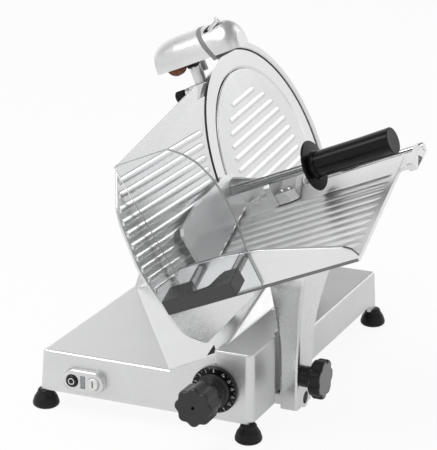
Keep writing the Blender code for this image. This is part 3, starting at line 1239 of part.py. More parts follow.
def stone(name, d, u, radius, low, finish, pivot):
    """Ring-shaped stone on its short pin, facing the blade's edge."""
    centre = slope(d, 0, u)
    profile = [(0, low), (radius * 0.35, low), (radius * 0.35, low + 0.0012), (radius - 0.0008, low + 0.0012),
               (radius, low + 0.0020), (radius, low + 0.0086), (radius - 0.0008, low + 0.0094),
               (0.0030, low + 0.0094), (0.0030, low + 0.0104 + 0.0006), (0, low + 0.0104 + 0.0006)]
    return body(name, turned(profile, centre, BACK, 14), finish, pivot)


def sharpener_button(finish, pivot):
    profile = [(0, -0.0050), (0.0040, -0.0050), (0.0040, 0.0110), (0.0058, 0.0112), (0.0060, 0.0120), (0.0060, 0.0138),
               (0.0052, 0.0146), (0, 0.0146)]
    return body("sharpener_button", turned(profile, pivot, BUTTON_AXIS, 12), finish, pivot)


def sharpener_knob(finish, pivot):
    """Knurled screw in the socket's left side that clamps the post."""
    outline = lobed(0.0078, 0.0007, 9, 18)
    face = POST_D - SOCKET_SIDE - SEAT
    rows = [[slope(d, pivot.dot(BACK) + a * k, KNOB_U + b * k) for a, b in outline]
            for d, k in ((face - 0.0165, 0.86), (face - 0.0155, 1.0), (face - 0.0040, 1.0), (face - 0.0030, 0.9))]
    piece = body("sharpener_lock_knob", mesh_of(rows), finish, pivot)
    centre = slope(0, SHARPENER_Y, KNOB_U)
    join(piece, rod(0.0058, centre, AXIS, face - 0.0040, face, 12),
         rod(0.0030, centre, AXIS, face - 0.0020, POST_D - POST_RADIUS - RUN - SEAT, 10))
    return piece


# Build everything

def build():
    for obj in list(bpy.data.objects):
        bpy.data.objects.remove(obj, do_unlink=True)
    cast = material("satin_cast_aluminium", (0.72, 0.73, 0.74), 0.38, 0.9)
    polished = material("polished_aluminium", (0.80, 0.81, 0.82), 0.22, 1.0)
    steel = material("blade_steel", (0.78, 0.79, 0.80), 0.16, 1.0)
    black = material("black_plastic", (0.02, 0.02, 0.02), 0.35, 0.0)
    rubber = material("black_rubber", (0.015, 0.015, 0.015), 0.6, 0.0)
    zinc = material("zinc_plate", (0.6, 0.6, 0.6), 0.4, 0.9)
    grey = material("grey_plastic", (0.10, 0.10, 0.11), 0.4, 0.0)
    white = material("white_plastic", (0.85, 0.85, 0.85), 0.35, 0.0)
    green = material("circuit_board", (0.02, 0.14, 0.06), 0.5, 0.0)
    clear = material("clear_acrylic", (0.9, 0.92, 0.93), 0.05, 0.0)
    stone_red = material("red_stone", (0.25, 0.09, 0.06), 0.9, 0.0)
    hub = slope(BLADE_D, BLADE_Y, BLADE_U)
    motor_axis = slope(POD_D, MOTOR_Y, MOTOR_U)

    base_casting(cast)
    bottom_cover(zinc)
    for name, x, y in (("foot_front_left", 0, 0), ("foot_front_right", FOOT_INSET_X, 0),
                       ("foot_rear_left", 0, FOOT_INSET_Y), ("foot_rear_right", FOOT_INSET_X, FOOT_INSET_Y)):
        foot(name, x, y, rubber)
    blade_housing(cast)
    ring_guard(cast)
    blade(steel, hub)
    cover_disc(polished)
    cover_knob(black, hub)
    blade_pulley(zinc, hub)
    blade_spindle(steel, hub)
    bearing("spindle_bearing_outer", HOUSING_BACK - 0.0225, steel)
    bearing("spindle_bearing_inner", HOUSING_BACK - 0.0065, steel)
    motor(zinc)
    motor_pulley(zinc, motor_axis)
    drive_belt(rubber)
    slice_deflector(polished)
    gauge_pivot = slope(BLADE_D, GAUGE_ROD_Y, GAUGE_ROD_U)
    gauge_plate(polished, gauge_pivot)
    gauge_bracket(cast, gauge_pivot)
    gauge_rod(steel)
    gauge_rod_bracket(cast)

    dial_axis = front(DIAL_X, BASE_FRONT, DIAL_Z)
    dial_knob(grey, dial_axis)
    dial_disc(black, dial_axis)
    dial_cam(zinc, dial_axis)
    switch_housing(cast)
    push_button("stop_button", -1, black)
    push_button("start_button", 1, white)
    indicator_lamp(grey)
    control_board(green)
    cable_gland(black)

    carriage_rod(steel)
    rod_bracket(zinc)
    support_rail(steel)
    origin = tray(0, 0, 0)
    carriage_slider(cast, origin)
    carriage_arm(cast, origin)
    carriage_tray(polished, origin)
    hand_guard(clear, origin)
    carriage_handle(black, origin)
    handle_standoff("handle_standoff_left", STANDOFFS[0], steel, origin)
    handle_standoff("handle_standoff_right", STANDOFFS[1], steel, origin)
    lock_knob(black, Vector((0.3070, 0.0890, 0.0570)))
    rod_axis = tray(0, ROD_S, ROD_H)
    pusher_rod(steel, rod_axis)
    pusher_bushing(white, rod_axis)
    pusher_arm(cast, rod_axis)
    pusher_plate(polished, rod_axis)
    pusher_shaft(steel, rod_axis)
    pusher_grip(black, rod_axis)
    pusher_screw("pusher_screw_left", BLOCK_LOW + 0.0180, steel, rod_axis)
    pusher_screw("pusher_screw_right", BLOCK_HIGH - 0.0010, steel, rod_axis)

    post_axis = slope(POST_D, SHARPENER_Y, SHARPENER_LOW)
    sharpener_post(steel, post_axis)
    sharpener_bracket(cast, post_axis)
    left = sharpener_cover("sharpener_cover_left", 0.1800, 0.2569, True, cast, post_axis)
    cut(left, rod(BLADE_RADIUS + 0.0035, slope(0, BLADE_Y, BLADE_U), AXIS, 0.2400, 0.2600, 96))
    right = sharpener_cover("sharpener_cover_right", 0.2637, 0.3010, False, cast, post_axis)
    sharpener_frame(grey, post_axis)
    stone("grinding_stone", 0.2080, SHARPENER_LOW + 0.0085, 0.0140, SHARPENER_Y - 0.0223, stone_red, post_axis)
    stone("honing_stone", 0.2835, SHARPENER_LOW + 0.0150, 0.0085, SHARPENER_Y - 0.0213, stone_red, post_axis)
    button_base = slope(0.2720, SHARPENER_Y - 0.0110, SHARPENER_TOP - 0.0055)
    sharpener_button(steel, button_base)
    cut(right, rod(0.0066, button_base, BUTTON_AXIS, -0.012, 0.0300, 14))
    sharpener_knob(black, slope(POST_D, SHARPENER_Y, KNOB_U))
    centre_on_floor()


def centre_on_floor():
    """Move the part so that its zero point is the middle of its footprint on the ground."""
    bpy.context.view_layer.update()
    graph = bpy.context.evaluated_depsgraph_get()
    low = Vector((1e9, 1e9, 1e9))
    high = -low
    for obj in bpy.data.objects:
        if obj.hide_render:
            continue
        solid = obj.evaluated_get(graph)
        mesh = solid.to_mesh()
        for vertex in mesh.vertices:
            point = solid.matrix_world @ vertex.co
            low = Vector(map(min, low, point))
            high = Vector(map(max, high, point))
        solid.to_mesh_clear()
    shift = Vector(((low.x + high.x) / 2, (low.y + high.y) / 2, low.z))
    for obj in bpy.data.objects:
        obj.location -= shift


build()
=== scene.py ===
"""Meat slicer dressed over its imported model: detailed pieces, finishes, floor, lights and camera."""

from math import acos, atan2, cos, hypot, pi, radians, sin, tan

import bmesh
import bpy
from mathutils import Matrix, Vector


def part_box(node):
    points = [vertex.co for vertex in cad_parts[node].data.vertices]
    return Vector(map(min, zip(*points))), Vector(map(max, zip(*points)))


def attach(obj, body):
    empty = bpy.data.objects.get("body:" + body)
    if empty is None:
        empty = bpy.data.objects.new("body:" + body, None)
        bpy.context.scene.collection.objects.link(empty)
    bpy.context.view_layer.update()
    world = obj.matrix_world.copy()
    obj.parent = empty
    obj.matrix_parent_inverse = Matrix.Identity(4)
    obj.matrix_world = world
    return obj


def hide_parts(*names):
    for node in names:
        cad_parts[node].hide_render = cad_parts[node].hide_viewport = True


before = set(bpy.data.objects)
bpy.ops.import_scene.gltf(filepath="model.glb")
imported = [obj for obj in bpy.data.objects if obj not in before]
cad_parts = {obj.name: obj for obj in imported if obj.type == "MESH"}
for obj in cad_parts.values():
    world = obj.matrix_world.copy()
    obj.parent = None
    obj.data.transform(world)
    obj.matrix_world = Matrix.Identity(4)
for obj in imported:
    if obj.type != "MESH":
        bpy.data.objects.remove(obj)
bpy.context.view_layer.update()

# Metres and radians, in the machine's own frame: feet on the floor, front left foot at the origin.
SEAT = 0.0003
RUN = 0.0006
SWEEP = 0.002
TILT = radians(23.1)
BLADE_RADIUS = 0.15
BLADE_D = 0.2552
BLADE_Y = 0.3122
BLADE_U = 0.1685
BLADE_DISH = 0.0034
BLADE_DISH_RADIUS = 0.1285
BLADE_THICKNESS = 0.004
COVER_RADIUS = 0.1244
COVER_THICKNESS = 0.003
BASE_LEFT = -0.0045
BASE_RIGHT = 0.2765
BASE_FRONT = -0.0055
BASE_REAR = 0.439
BASE_BOTTOM = 0.024
BASE_TOP = 0.077
BASE_DRAFT = 0.0045
BASE_WALL = 0.0045
BLOCK_LEFT = 0.241
BLOCK_RIGHT = 0.281
BLOCK_TOP = 0.113
BLOCK_DEPTH = 0.078
RAMP_START = 0.172
RAMP_BACK = 0.25
RAMP_SLOPE = 0.36
TERRACE_BACK = 0.15
CHANNEL_LEFT = 0.2385
CHANNEL_SILL = 0.033
FOOT_RADIUS = 0.0167
FOOT_INSET_X = 0.274
FOOT_INSET_Y = 0.433
POD_D = 0.1994
POD_TOP_U = 0.12
POD_FRONT = 0.234
POD_FRONT_TOP = 0.29
POD_BACK_TOP = 0.388
POD_BACK = 0.425
MOTOR_Y = 0.335
MOTOR_U = 0.066
MOTOR_SHAFT_RADIUS = 0.007
BLADE_PULLEY_RADIUS = 0.05
MOTOR_PULLEY_RADIUS = 0.015
HOUSING_BACK = 0.1997
HOUSING_FACE = 0.24
HOUSING_PLATE = 0.006
HOUSING_WALL = 0.006
GUARD_RADIUS = 0.162
GUARD_PROUD = 0.0022
SPINDLE_RADIUS = 0.01
SPINDLE_BORE = 0.0045
BEARING_RADIUS = 0.0175
GAUGE_THICKNESS = 0.0045
GAUGE_TRAVEL = 0.015
GAUGE_RIB_HEIGHT = 0.0016
GAUGE_RIB_PITCH = 0.0147
GAUGE_RIB_TOP = 0.2455
GAUGE_RIB_COUNT = 10
GAUGE_GAP = 0.002
GAUGE_ROD_RADIUS = 0.006
GAUGE_ROD_Y = 0.04
GAUGE_ARM_Y = 0.098
GAUGE_ROD_U = -0.027
CAM_LOW = 0.012
TRAY_FRONT_Y = -0.012
TRAY_FOLD_U = 0.0693
TRAY_PITCH = radians(16.3)
TRAY_GAP = 0.0042
TRAY_LENGTH = 0.229
TRAY_WIDTH = 0.2285
TRAY_BOTTOM = -0.0005
TRAY_THICKNESS = 0.0055
TRAY_RIB_COUNT = 11
TRAY_RIB_PITCH = 0.01665
TRAY_RIB_HEIGHT = 0.0015
FRONT_PLATE_HEIGHT = 0.055
FRONT_PLATE_LOW = 0.022
GUARD_SHEET = 0.004
STANDOFFS = (0.0385, 0.0958)
STANDOFF_H = 0.0475
GUIDE_ROD_RADIUS = 0.009
GUIDE_ROD_X = 0.2555
GUIDE_ROD_Z = 0.05
ARM_BOTTOM = 0.014
ROD_S = 0.2405
ROD_H = 0.002
ROD_RADIUS = 0.005
EAR_LEFT = 0.0135
SHAFT_S = 0.198
SHAFT_H = 0.0405
SHAFT_RADIUS = 0.0056
BLOCK_LOW = 0.055
BLOCK_HIGH = 0.084
BLOCK_TOP_H = 0.0205
PUSHER_D = 0.0046
PUSHER_PLATE = 0.005
GRIP_START = 0.129
GRIP_LENGTH = 0.109
GRIP_RADIUS = 0.0163
GRIP_FLANGE = 0.032
DIAL_X = 0.2335
DIAL_Z = 0.0635
DIAL_RADIUS = 0.029
DIAL_THICKNESS = 0.006
KNOB_RADIUS = 0.0245
KNOB_LOBES = 8
KNOB_REACH = 0.066
SWITCH_X = 0.0595
SWITCH_Z = 0.046
SWITCH_WIDTH = 0.056
SWITCH_HEIGHT = 0.029
SHARPENER_Y = 0.272
SHARPENER_LOW = 0.3205
SHARPENER_TOP = 0.363
SHELL_LOW = 0.3245
SEAM_MIDDLE = 0.343
SEAM_LEAN = 0.43
SHARPENER_HALF = 0.029
POST_D = 0.224
POST_RADIUS = 0.008
KNOB_U = 0.287
SOCKET_SIDE = 0.0235
GLAND_X = 0.06
GLAND_Z = 0.052
UNDER_RIGHT = 0.2325
COVER_RIB_COUNT = 13
COVER_RIB_PITCH = 0.0149
COVER_RIB_REACH = 0.0985
COVER_RIB_LEAN = radians(4.6)
SCALE_FIGURES = 15
SCALE_TURN = 330
DIAL_SHAFT_RADIUS = 0.005
BUTTON_SPREAD = 0.0145
LAMP_HALF = (0.003, 0.008)
LUG_Y = 0.105
LUG_Z = 0.0225
LOCK_Y = 0.089
LOCK_Z = 0.057
LOCK_START = 0.3074
PUSHER_TEETH = 17

# Share of white that each kind of ray sees: the sky's top in metal, its fill light, and the floor.
SKY_TOP = 0.34
SKY_FILL = 0.52
FLOOR_SEEN = 0.92
FLOOR_MIRRORED = 0.42

# Heights between which the sky dims, as the upward share of a direction; and half the floor's side.
HORIZON = 0.06
SKY_TOP_FROM = 0.6
FLOOR_HALF = 6

# name: place, aim, width, height, watts
LAMPS = {
    "key": ((-0.9, -1.0, 2.2), (0, 0, 0.2), 1.6, 1.6, 37),
    "side": ((1.8, -0.2, 1.2), (0, 0, 0.2), 1.0, 1.4, 1.5),
    "rear": ((-2.1, 1.8, 1.4), (0, 0, 0.3), 2.4, 2.4, 7),
    "glint": ((1.0, 2.3, 1.3), (0, 0, 0.3), 0.8, 0.8, 4),
}

CAMERA_YAW = radians(23.92)
CAMERA_PITCH = radians(18.11)
CAMERA_PLACE = (1.1955, -2.166, 1.0424)
FOCAL_PIXELS = 2139.47
FRAME_PIXELS = 450.0
SENSOR = 36.0

AXIS = Vector((cos(TILT), 0, sin(TILT)))
BACK = Vector((0, 1, 0))
RISE = Vector((-sin(TILT), 0, cos(TILT)))
RIGHT = Vector((1, 0, 0))
UP = Vector((0, 0, 1))
TRAY_S = BACK * cos(TRAY_PITCH) + RISE * sin(TRAY_PITCH)
TRAY_H = RISE * cos(TRAY_PITCH) - BACK * sin(TRAY_PITCH)
BUTTON_AXIS = (AXIS * 0.8 + RISE * 0.55 + BACK * 0.25).normalized()
SHIFT = Vector((SWITCH_X - 0.003, BASE_FRONT - 0.0105, SWITCH_Z - 0.008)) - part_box("indicator_lamp")[0]


# Placements turn an outline's two numbers and its depth into a point: slope lies along the blade's
# axis, tray along the carriage's own slant, and the others are the same with the numbers swapped.

def slope(d, y, u):
    return AXIS * d + BACK * y + RISE * u


def tray(d, s, h):
    return slope(BLADE_D + d, TRAY_FRONT_Y, TRAY_FOLD_U) + TRAY_S * s + TRAY_H * h


def at(x, y, z):
    return Vector((x, y, z))


def slope_side(d, u, y):
    return slope(d, y, u)


def slope_face(y, u, d):
    return slope(d, y, u)


def tray_side(d, h, s):
    return tray(d, s, h)


def tray_end(s, h, d):
    return tray(d, s, h)


HUB = slope(BLADE_D, BLADE_Y, BLADE_U)
SPINDLE_LINE = slope(0, BLADE_Y, BLADE_U)
MOTOR_LINE = slope(0, MOTOR_Y, MOTOR_U)
GAUGE_ROD_LINE = slope(0, GAUGE_ROD_Y, GAUGE_ROD_U)
POST_LINE = slope(POST_D, SHARPENER_Y, 0)
CLAMP_LINE = slope(0, SHARPENER_Y, KNOB_U)
ROD_LINE = tray(0, ROD_S, ROD_H)
SHAFT_LINE = tray(0, SHAFT_S, SHAFT_H)
DIAL_LINE = at(DIAL_X, 0, DIAL_Z)
GLAND_LINE = at(GLAND_X, 0, GLAND_Z)


# Finishes

class Nodes:
    """The node tree of a material or of the world, with short calls to add to it."""

    def __init__(self, name, owner=None):
        self.owner = owner or bpy.data.materials.new(name)
        self.owner.use_nodes = True
        self.tree = self.owner.node_tree
        self.shader = self.tree.nodes.get("Principled BSDF")
        self.place = self.add("ShaderNodeTexCoord").outputs["Object"]

    def add(self, kind, inputs=None, **settings):
        node = self.tree.nodes.new(kind)
        for key, value in settings.items():
            setattr(node, key, value)
        for key, value in (inputs or {}).items():
            self.feed(node.inputs[key], value)
        return node

    def feed(self, socket, value):
        if isinstance(value, bpy.types.NodeSocket):
            self.tree.links.new(value, socket)
        else:
            socket.default_value = value

    def stretched(self, scale, turn=None):
        """Object coordinates, turned so that a frame's axes lie along them, then scaled."""
        place = self.place
        if turn is not None:
            parts = [self.add("ShaderNodeVectorMath", {0: place, 1: axis}, operation="DOT_PRODUCT").outputs["Value"]
                     for axis in turn]
            place = self.add("ShaderNodeCombineXYZ", dict(zip((0, 1, 2), parts))).outputs[0]
        return self.add("ShaderNodeVectorMath", {0: place, 1: scale}, operation="MULTIPLY").outputs[0]

    def noise(self, vector, scale, detail=4.0, rough=0.55):
        return self.add("ShaderNodeTexNoise",
                        {"Vector": vector, "Scale": scale, "Detail": detail, "Roughness": rough}).outputs["Fac"]

    def spread(self, value, low, high, start=0.3, stop=0.7):
        return self.add("ShaderNodeMapRange",
                        {"Value": value, "From Min": start, "From Max": stop, "To Min": low,
                         "To Max": high}).outputs["Result"]

    def mixed(self, factor, first, second):
        return self.add("ShaderNodeMix", {"Factor": factor, "A": first, "B": second}, data_type="RGBA").outputs[2]

    def maths(self, operation, first, second):
        return self.add("ShaderNodeMath", {0: first, 1: second}, operation=operation).outputs[0]

    def worn(self, low=0.52, high=0.6):
        return self.spread(self.add("ShaderNodeNewGeometry").outputs["Pointiness"], 0.0, 1.0, low, high)

    def finish(self, colour, roughness, height, strength, distance=0.0002, constants=None):
        """Feed the shader; what is the same all over goes straight into its sockets."""
        self.feed(self.shader.inputs["Base Color"], colour)
        self.feed(self.shader.inputs["Roughness"], roughness)
        for name, value in (constants or {}).items():
            self.shader.inputs[name].default_value = value
        node = self.add("ShaderNodeBump", {"Height": height, "Strength": strength, "Distance": distance})
        self.feed(self.shader.inputs["Normal"], node.outputs[0])
        return self.owner


WORN_LIFT = 0.06


def grey(value, tint):
    return (value - tint, value, value + tint, 1)


def metal(name, tone, roughness, scale, turn=None, spread=0.05, bump=0.03, metallic=1.0, shade=0.05):
    """Bare or anodised metal with a grain along one direction, cloudy tone and brighter edges."""
    n = Nodes(name)
    grain = n.noise(n.stretched(scale, turn), 1.0, 6.0, 0.6)
    cloud = n.noise(n.place, 14.0, 4.0, 0.5)
    tint = n.mixed(n.spread(cloud, 0.0, 1.0), grey(tone - shade, 0.002), grey(tone + shade * 0.5, 0.003))
    streak = n.mixed(n.spread(grain, 0.0, 0.6), tint, grey(tone + shade, 0.003))
    colour = n.mixed(n.worn(), streak, grey(min(tone + WORN_LIFT, 0.96), 0.002))
    rough = n.maths("ADD", n.spread(grain, roughness - spread, roughness + spread), n.spread(cloud, -0.03, 0.03))
    return n.finish(colour, rough, grain, bump, constants={"Metallic": metallic})


def ringed(name, tone, roughness, centre, axis, fine):
    """Turned metal, with its fine rings round an axis."""
    n = Nodes(name)
    offset = n.add("ShaderNodeVectorMath", {0: n.place, 1: centre - SHIFT}, operation="SUBTRACT").outputs[0]
    around = n.add("ShaderNodeVectorMath", {0: offset, 1: axis}, operation="CROSS_PRODUCT").outputs[0]
    reach = n.add("ShaderNodeVectorMath", {0: around}, operation="LENGTH").outputs["Value"]
    rings = n.add("ShaderNodeTexNoise", {"W": reach, "Scale": fine, "Detail": 5.0},
                  noise_dimensions="1D").outputs["Fac"]
    cloud = n.noise(n.place, 10.0, 3.0)
    tint = n.mixed(n.spread(rings, 0.0, 1.0), grey(tone - 0.03, 0.002), grey(tone + 0.03, 0.002))
    rough = n.maths("ADD", n.spread(rings, roughness - 0.05, roughness + 0.05), n.spread(cloud, -0.03, 0.03))
    return n.finish(tint, rough, rings, 0.08, 0.0001, {"Metallic": 1.0})


def moulded(name, colour, roughness, grain, bump, lift, wear, gloss=0.5):
    """Moulded plastic or rubber with a fine grain, and duller, paler edges."""
    n = Nodes(name)
    fine = n.noise(n.place, grain, 3.0, 0.6)
    cloud = n.noise(n.place, 30.0, 4.0)
    plain, pale, worn = [tuple(min(c + more, 1) for c in colour) + (1,) for more in (0, lift, wear)]
    tint = n.mixed(n.spread(cloud, 0.0, 1.0), plain, pale)
    tint = n.mixed(n.worn(0.53, 0.65), tint, worn)
    rough = n.maths("ADD", n.spread(fine, roughness - 0.05, roughness + 0.05), n.spread(cloud, -0.04, 0.04))
    return n.finish(tint, rough, fine, bump, 0.0001, {"Specular IOR Level": gloss})


def acrylic(name):
    n = Nodes(name)
    haze = n.noise(n.stretched((30, 30, 30)), 1.0, 5.0)
    fine = n.noise(n.place, 500.0, 2.0)
    tint = n.mixed(n.spread(haze, 0.0, 1.0), (0.93, 0.95, 0.955, 1), (0.97, 0.98, 0.98, 1))
    return n.finish(tint, n.spread(fine, 0.01, 0.04), fine, 0.02, 5e-05, {"IOR": 1.49, "Transmission Weight": 1.0})


def abrasive(name):
    n = Nodes(name)
    grit = n.add("ShaderNodeTexVoronoi", {"Vector": n.place, "Scale": 1400.0}).outputs["Distance"]
    cloud = n.noise(n.place, 120.0)
    tint = n.mixed(n.spread(grit, 0.0, 1.0, 0.1, 0.6), (0.3, 0.11, 0.07, 1), (0.13, 0.045, 0.03, 1))
    tint = n.mixed(n.spread(cloud, 0.0, 0.5), tint, (0.36, 0.17, 0.12, 1))
    return n.finish(tint, n.spread(grit, 0.75, 0.95, 0.1, 0.6), grit, 0.6, 0.0003)


def board_finish(name):
    n = Nodes(name)
    tracks = n.add("ShaderNodeTexBrick",
                   {"Vector": n.place, "Scale": 160.0, "Color1": (0.03, 0.16, 0.07, 1),
                    "Color2": (0.04, 0.22, 0.1, 1), "Mortar": (0.02, 0.1, 0.05, 1)})
    rough = n.spread(n.noise(n.place, 60.0), 0.35, 0.55)
    return n.finish(tracks.outputs["Color"], rough, tracks.outputs["Fac"], 0.2)


TRAY_FRAME = (AXIS, TRAY_S, TRAY_H)
SLOPE_FRAME = (AXIS, BACK, RISE)
FINISH = {
    "cast": metal("satin_cast_aluminium", 0.72, 0.36, (260, 260, 260), spread=0.05, bump=0.06, metallic=0.92),
    "arm_cast": metal("polished_cast_arm", 0.8, 0.27, (260, 260, 90), spread=0.015, bump=0.004, shade=0.03),
    # painted_shadow_edge is painted shade: a near-black metal for the beads that stand in for the shadow lines
    # along the tray's front plate.
    "painted_shadow_edge": metal("painted_shadow_line_metal", 0.15, 0.3, (700, 700, 700), spread=0.04, bump=0.02, shade=0.03),
    "rough_cast": metal("sand_cast_aluminium", 0.6, 0.52, (420, 420, 420), spread=0.08, bump=0.35, metallic=0.9),
    "plate": metal("brushed_gauge_plate", 0.74, 0.27, (1400, 22, 1400), SLOPE_FRAME),
    "tray": metal("brushed_tray_plate", 0.85, 0.36, (22, 1400, 1400), TRAY_FRAME),
    "cover": metal("anodised_cover_disc", 0.77, 0.27, (900, 900, 900), spread=0.04, bump=0.03),
    "pusher": metal("brushed_pusher_plate", 0.82, 0.32, (1200, 24, 1200), TRAY_FRAME),
    "blade": ringed("ground_blade_steel", 0.8, 0.2, HUB, AXIS, 2600.0),
    "steel": metal("polished_steel", 0.76, 0.14, (700, 700, 700), spread=0.04, bump=0.02),
    "shaft": metal("dark_polished_shaft", 0.3, 0.2, (700, 700, 700), spread=0.04, bump=0.02, shade=0.03),
    "chrome": metal("bright_chrome", 0.86, 0.07, (500, 500, 500), spread=0.02, bump=0.01, shade=0.02),
    "zinc": metal("zinc_plated_steel", 0.58, 0.36, (180, 180, 180), spread=0.08, bump=0.05, shade=0.08),
    "black": moulded("black_plastic", (0.006, 0.006, 0.006), 0.32, 1100.0, 0.12, 0.003, 0.012, 0.35),
    "gloss_black": moulded("gloss_black_plastic", (0.003, 0.003, 0.003), 0.24, 1400.0, 0.03, 0.002, 0.006, 0.22),
    "handle": moulded("handle_black_plastic", (0.008, 0.008, 0.0083), 0.3, 1300.0, 0.2, 0.003, 0.01, 0.85),
    "rubber": moulded("black_rubber", (0.005, 0.005, 0.005), 0.42, 700.0, 0.3, 0.003, 0.008, 0.3),
    "grey": moulded("grey_plastic", (0.014, 0.014, 0.015), 0.34, 1300.0, 0.2, 0.005, 0.02),
    "face_grey": moulded("knob_face_grey", (0.22, 0.22, 0.225), 0.38, 1300.0, 0.15, 0.01, 0.02),
    "seam": moulded("seam_grey_plastic", (0.2, 0.2, 0.205), 0.45, 1200.0, 0.2, 0.02, 0.05),
    "lens": moulded("lamp_lens_grey", (0.28, 0.29, 0.3), 0.22, 500.0, 0.05, 0.02, 0.05),
    "white": moulded("white_plastic", (0.8, 0.8, 0.79), 0.32, 1200.0, 0.08, 0.02, 0.03),
    # painted_edge_sheen is a painted sheen: an opaque pale grey for the clear guard's edge faces, standing in for
    # the bright look of a clear sheet's edges.
    "painted_edge_sheen": moulded("acrylic_edge_painted_sheen", (0.34, 0.35, 0.35), 0.2, 600.0, 0.03, 0.04, 0.05),
    "ink": moulded("white_print", (0.86, 0.86, 0.86), 0.5, 1600.0, 0.05, 0.02, 0.0),
    "dark_ink": moulded("dark_print", (0.03, 0.03, 0.03), 0.5, 1600.0, 0.05, 0.01, 0.0),
    "green": board_finish("circuit_board"),
    "clear": acrylic("clear_acrylic"),
    "stone": abrasive("red_stone"),
}


# Mesh tools

def mesh_of(loops, ring=False):
    bm = bmesh.new()
    rows = [[bm.verts.new(p) for p in loop] for loop in loops]
    pairs = list(zip(rows, rows[1:]))
    if ring:
        pairs.append((rows[-1], rows[0]))
    for low, high in pairs:
        count = max(len(low), len(high))
        for i in range(count):
            j = (i + 1) % count
            if len(low) == 1:
                bm.faces.new((low[0], high[j], high[i]))
            elif len(high) == 1:
                bm.faces.new((low[i], low[j], high[0]))
            else:
                bm.faces.new((low[i], low[j], high[j], high[i]))
    if not ring:
        for row in (rows[0], rows[-1]):
            if len(row) > 2:
                bm.faces.new(row)
    bmesh.ops.recalc_face_normals(bm, faces=bm.faces)
    return bm


def raised(start, profile):
    """(radius, distance) pairs, with the distances measured from a start."""
    return [(radius, start + distance) for radius, distance in profile]


def stacked(outline, place, table):
    """One outline at several (distance, scale) pairs, skinned into a mesh."""
    return mesh_of([[place(a * k, b * k, c) for a, b in outline] for c, k in table])


def prism(outline, place, low, high):
    return mesh_of([[place(a, b, c) for a, b in outline] for c in (low, high)])


def slab(outline, place, low, high, edge, segments, angle=30):
    """A prism with its sharp edges eased."""
    return soften(prism(outline, place, low, high), edge, segments, angle)


def block(x, y, z):
    return prism(rectangle(x, y), at, *z)


def rectangle(a, b):
    return [(a[0], b[0]), (a[1], b[0]), (a[1], b[1]), (a[0], b[1])]


def turned(profile, centre, axis, sides, closed=False, ease=0.0, steps=4):
    """Turn (radius, distance) pairs round an axis, with the profile's corners eased."""
    if ease:
        end = ease if closed else 0
        profile = rounded(profile, [end] + [ease] * (len(profile) - 2) + [end], steps)
    axis = axis.normalized()
    across = axis.orthogonal().normalized()
    side = axis.cross(across)
    loops = []
    for radius, distance in profile:
        if radius < 1e-07:
            loops.append([centre + axis * distance])
            continue
        loops.append([centre + axis * distance
                      + (across * cos(2 * pi * i / sides) + side * sin(2 * pi * i / sides)) * radius
                      for i in range(sides)])
    return mesh_of(loops, ring=closed)


def rod(radius, centre, axis, low, high, sides=48, chamfer=0.0):
    if not chamfer:
        return turned([(radius, low), (radius, high)], centre, axis, sides)
    return turned([(0, low), (radius, low), (radius, high), (0, high)], centre, axis, sides, ease=chamfer)


def arc(centre, radius, start, end, steps):
    turn = [radians(start + (end - start) * i / steps) for i in range(steps + 1)]
    return [(centre[0] + radius * cos(t), centre[1] + radius * sin(t)) for t in turn]


def rounded(points, radius, steps):
    radii = radius if isinstance(radius, (list, tuple)) else [radius] * len(points)
    outline = []
    for i, point in enumerate(points):
        here = Vector(point)
        if radii[i] <= 0:
            outline.append(tuple(here))
            continue
        before = Vector(points[i - 1]) - here
        after = Vector(points[(i + 1) % len(points)]) - here
        half = before.angle(after) / 2
        if half > radians(88):
            outline.append(tuple(here))
            continue
        cut = min(radii[i] / tan(half), before.length * 0.48, after.length * 0.48)
        true_radius = cut * tan(half)
        start = here + before.normalized() * cut
        end = here + after.normalized() * cut
        middle = here + (before.normalized() + after.normalized()).normalized() * (true_radius / sin(half))
        first, last = start - middle, end - middle
        sweep = first.angle(last)
        for k in range(steps + 1):
            share = k / steps
            mix = first * sin((1 - share) * sweep) + last * sin(share * sweep)
            outline.append(tuple(middle + mix / sin(sweep)))
    return outline


def stadium(width, height, steps=24):
    radius = height / 2
    reach = width / 2 - radius
    return arc((reach, 0), radius, -90, 90, steps) + arc((-reach, 0), radius, 90, 270, steps)


def hull(points, edge, segments, keep=None):
    bm = bmesh.new()
    for point in points:
        bm.verts.new(point)
    bmesh.ops.convex_hull(bm, input=bm.verts)
    loose = [v for v in bm.verts if not v.link_faces]
    bmesh.ops.delete(bm, geom=loose, context="VERTS")
    bmesh.ops.dissolve_limit(bm, angle_limit=radians(1), verts=bm.verts, edges=bm.edges)
    if edge:
        sharp = [e for e in bm.edges if e.calc_face_angle(0) > radians(8) and (keep is None or keep(e))]
        bmesh.ops.bevel(bm, geom=sharp, offset=edge, segments=segments, profile=0.5, affect="EDGES",
                        clamp_overlap=True)
    bmesh.ops.recalc_face_normals(bm, faces=bm.faces)
    return bm


def soften(bm, width, segments, angle=30):
    sharp = [e for e in bm.edges if len(e.link_faces) == 2 and e.calc_face_angle(0) > radians(angle)]
    bmesh.ops.bevel(bm, geom=sharp, offset=width, segments=segments, profile=0.5, affect="EDGES",
                    clamp_overlap=True)
    bmesh.ops.recalc_face_normals(bm, faces=bm.faces)
    return bm


def together(*meshes):
    joined = bmesh.new()
    for bm in meshes:
        part = bpy.data.meshes.new("part")
        bm.to_mesh(part)
        joined.from_mesh(part)
        bm.free()
        bpy.data.meshes.remove(part)
    return joined


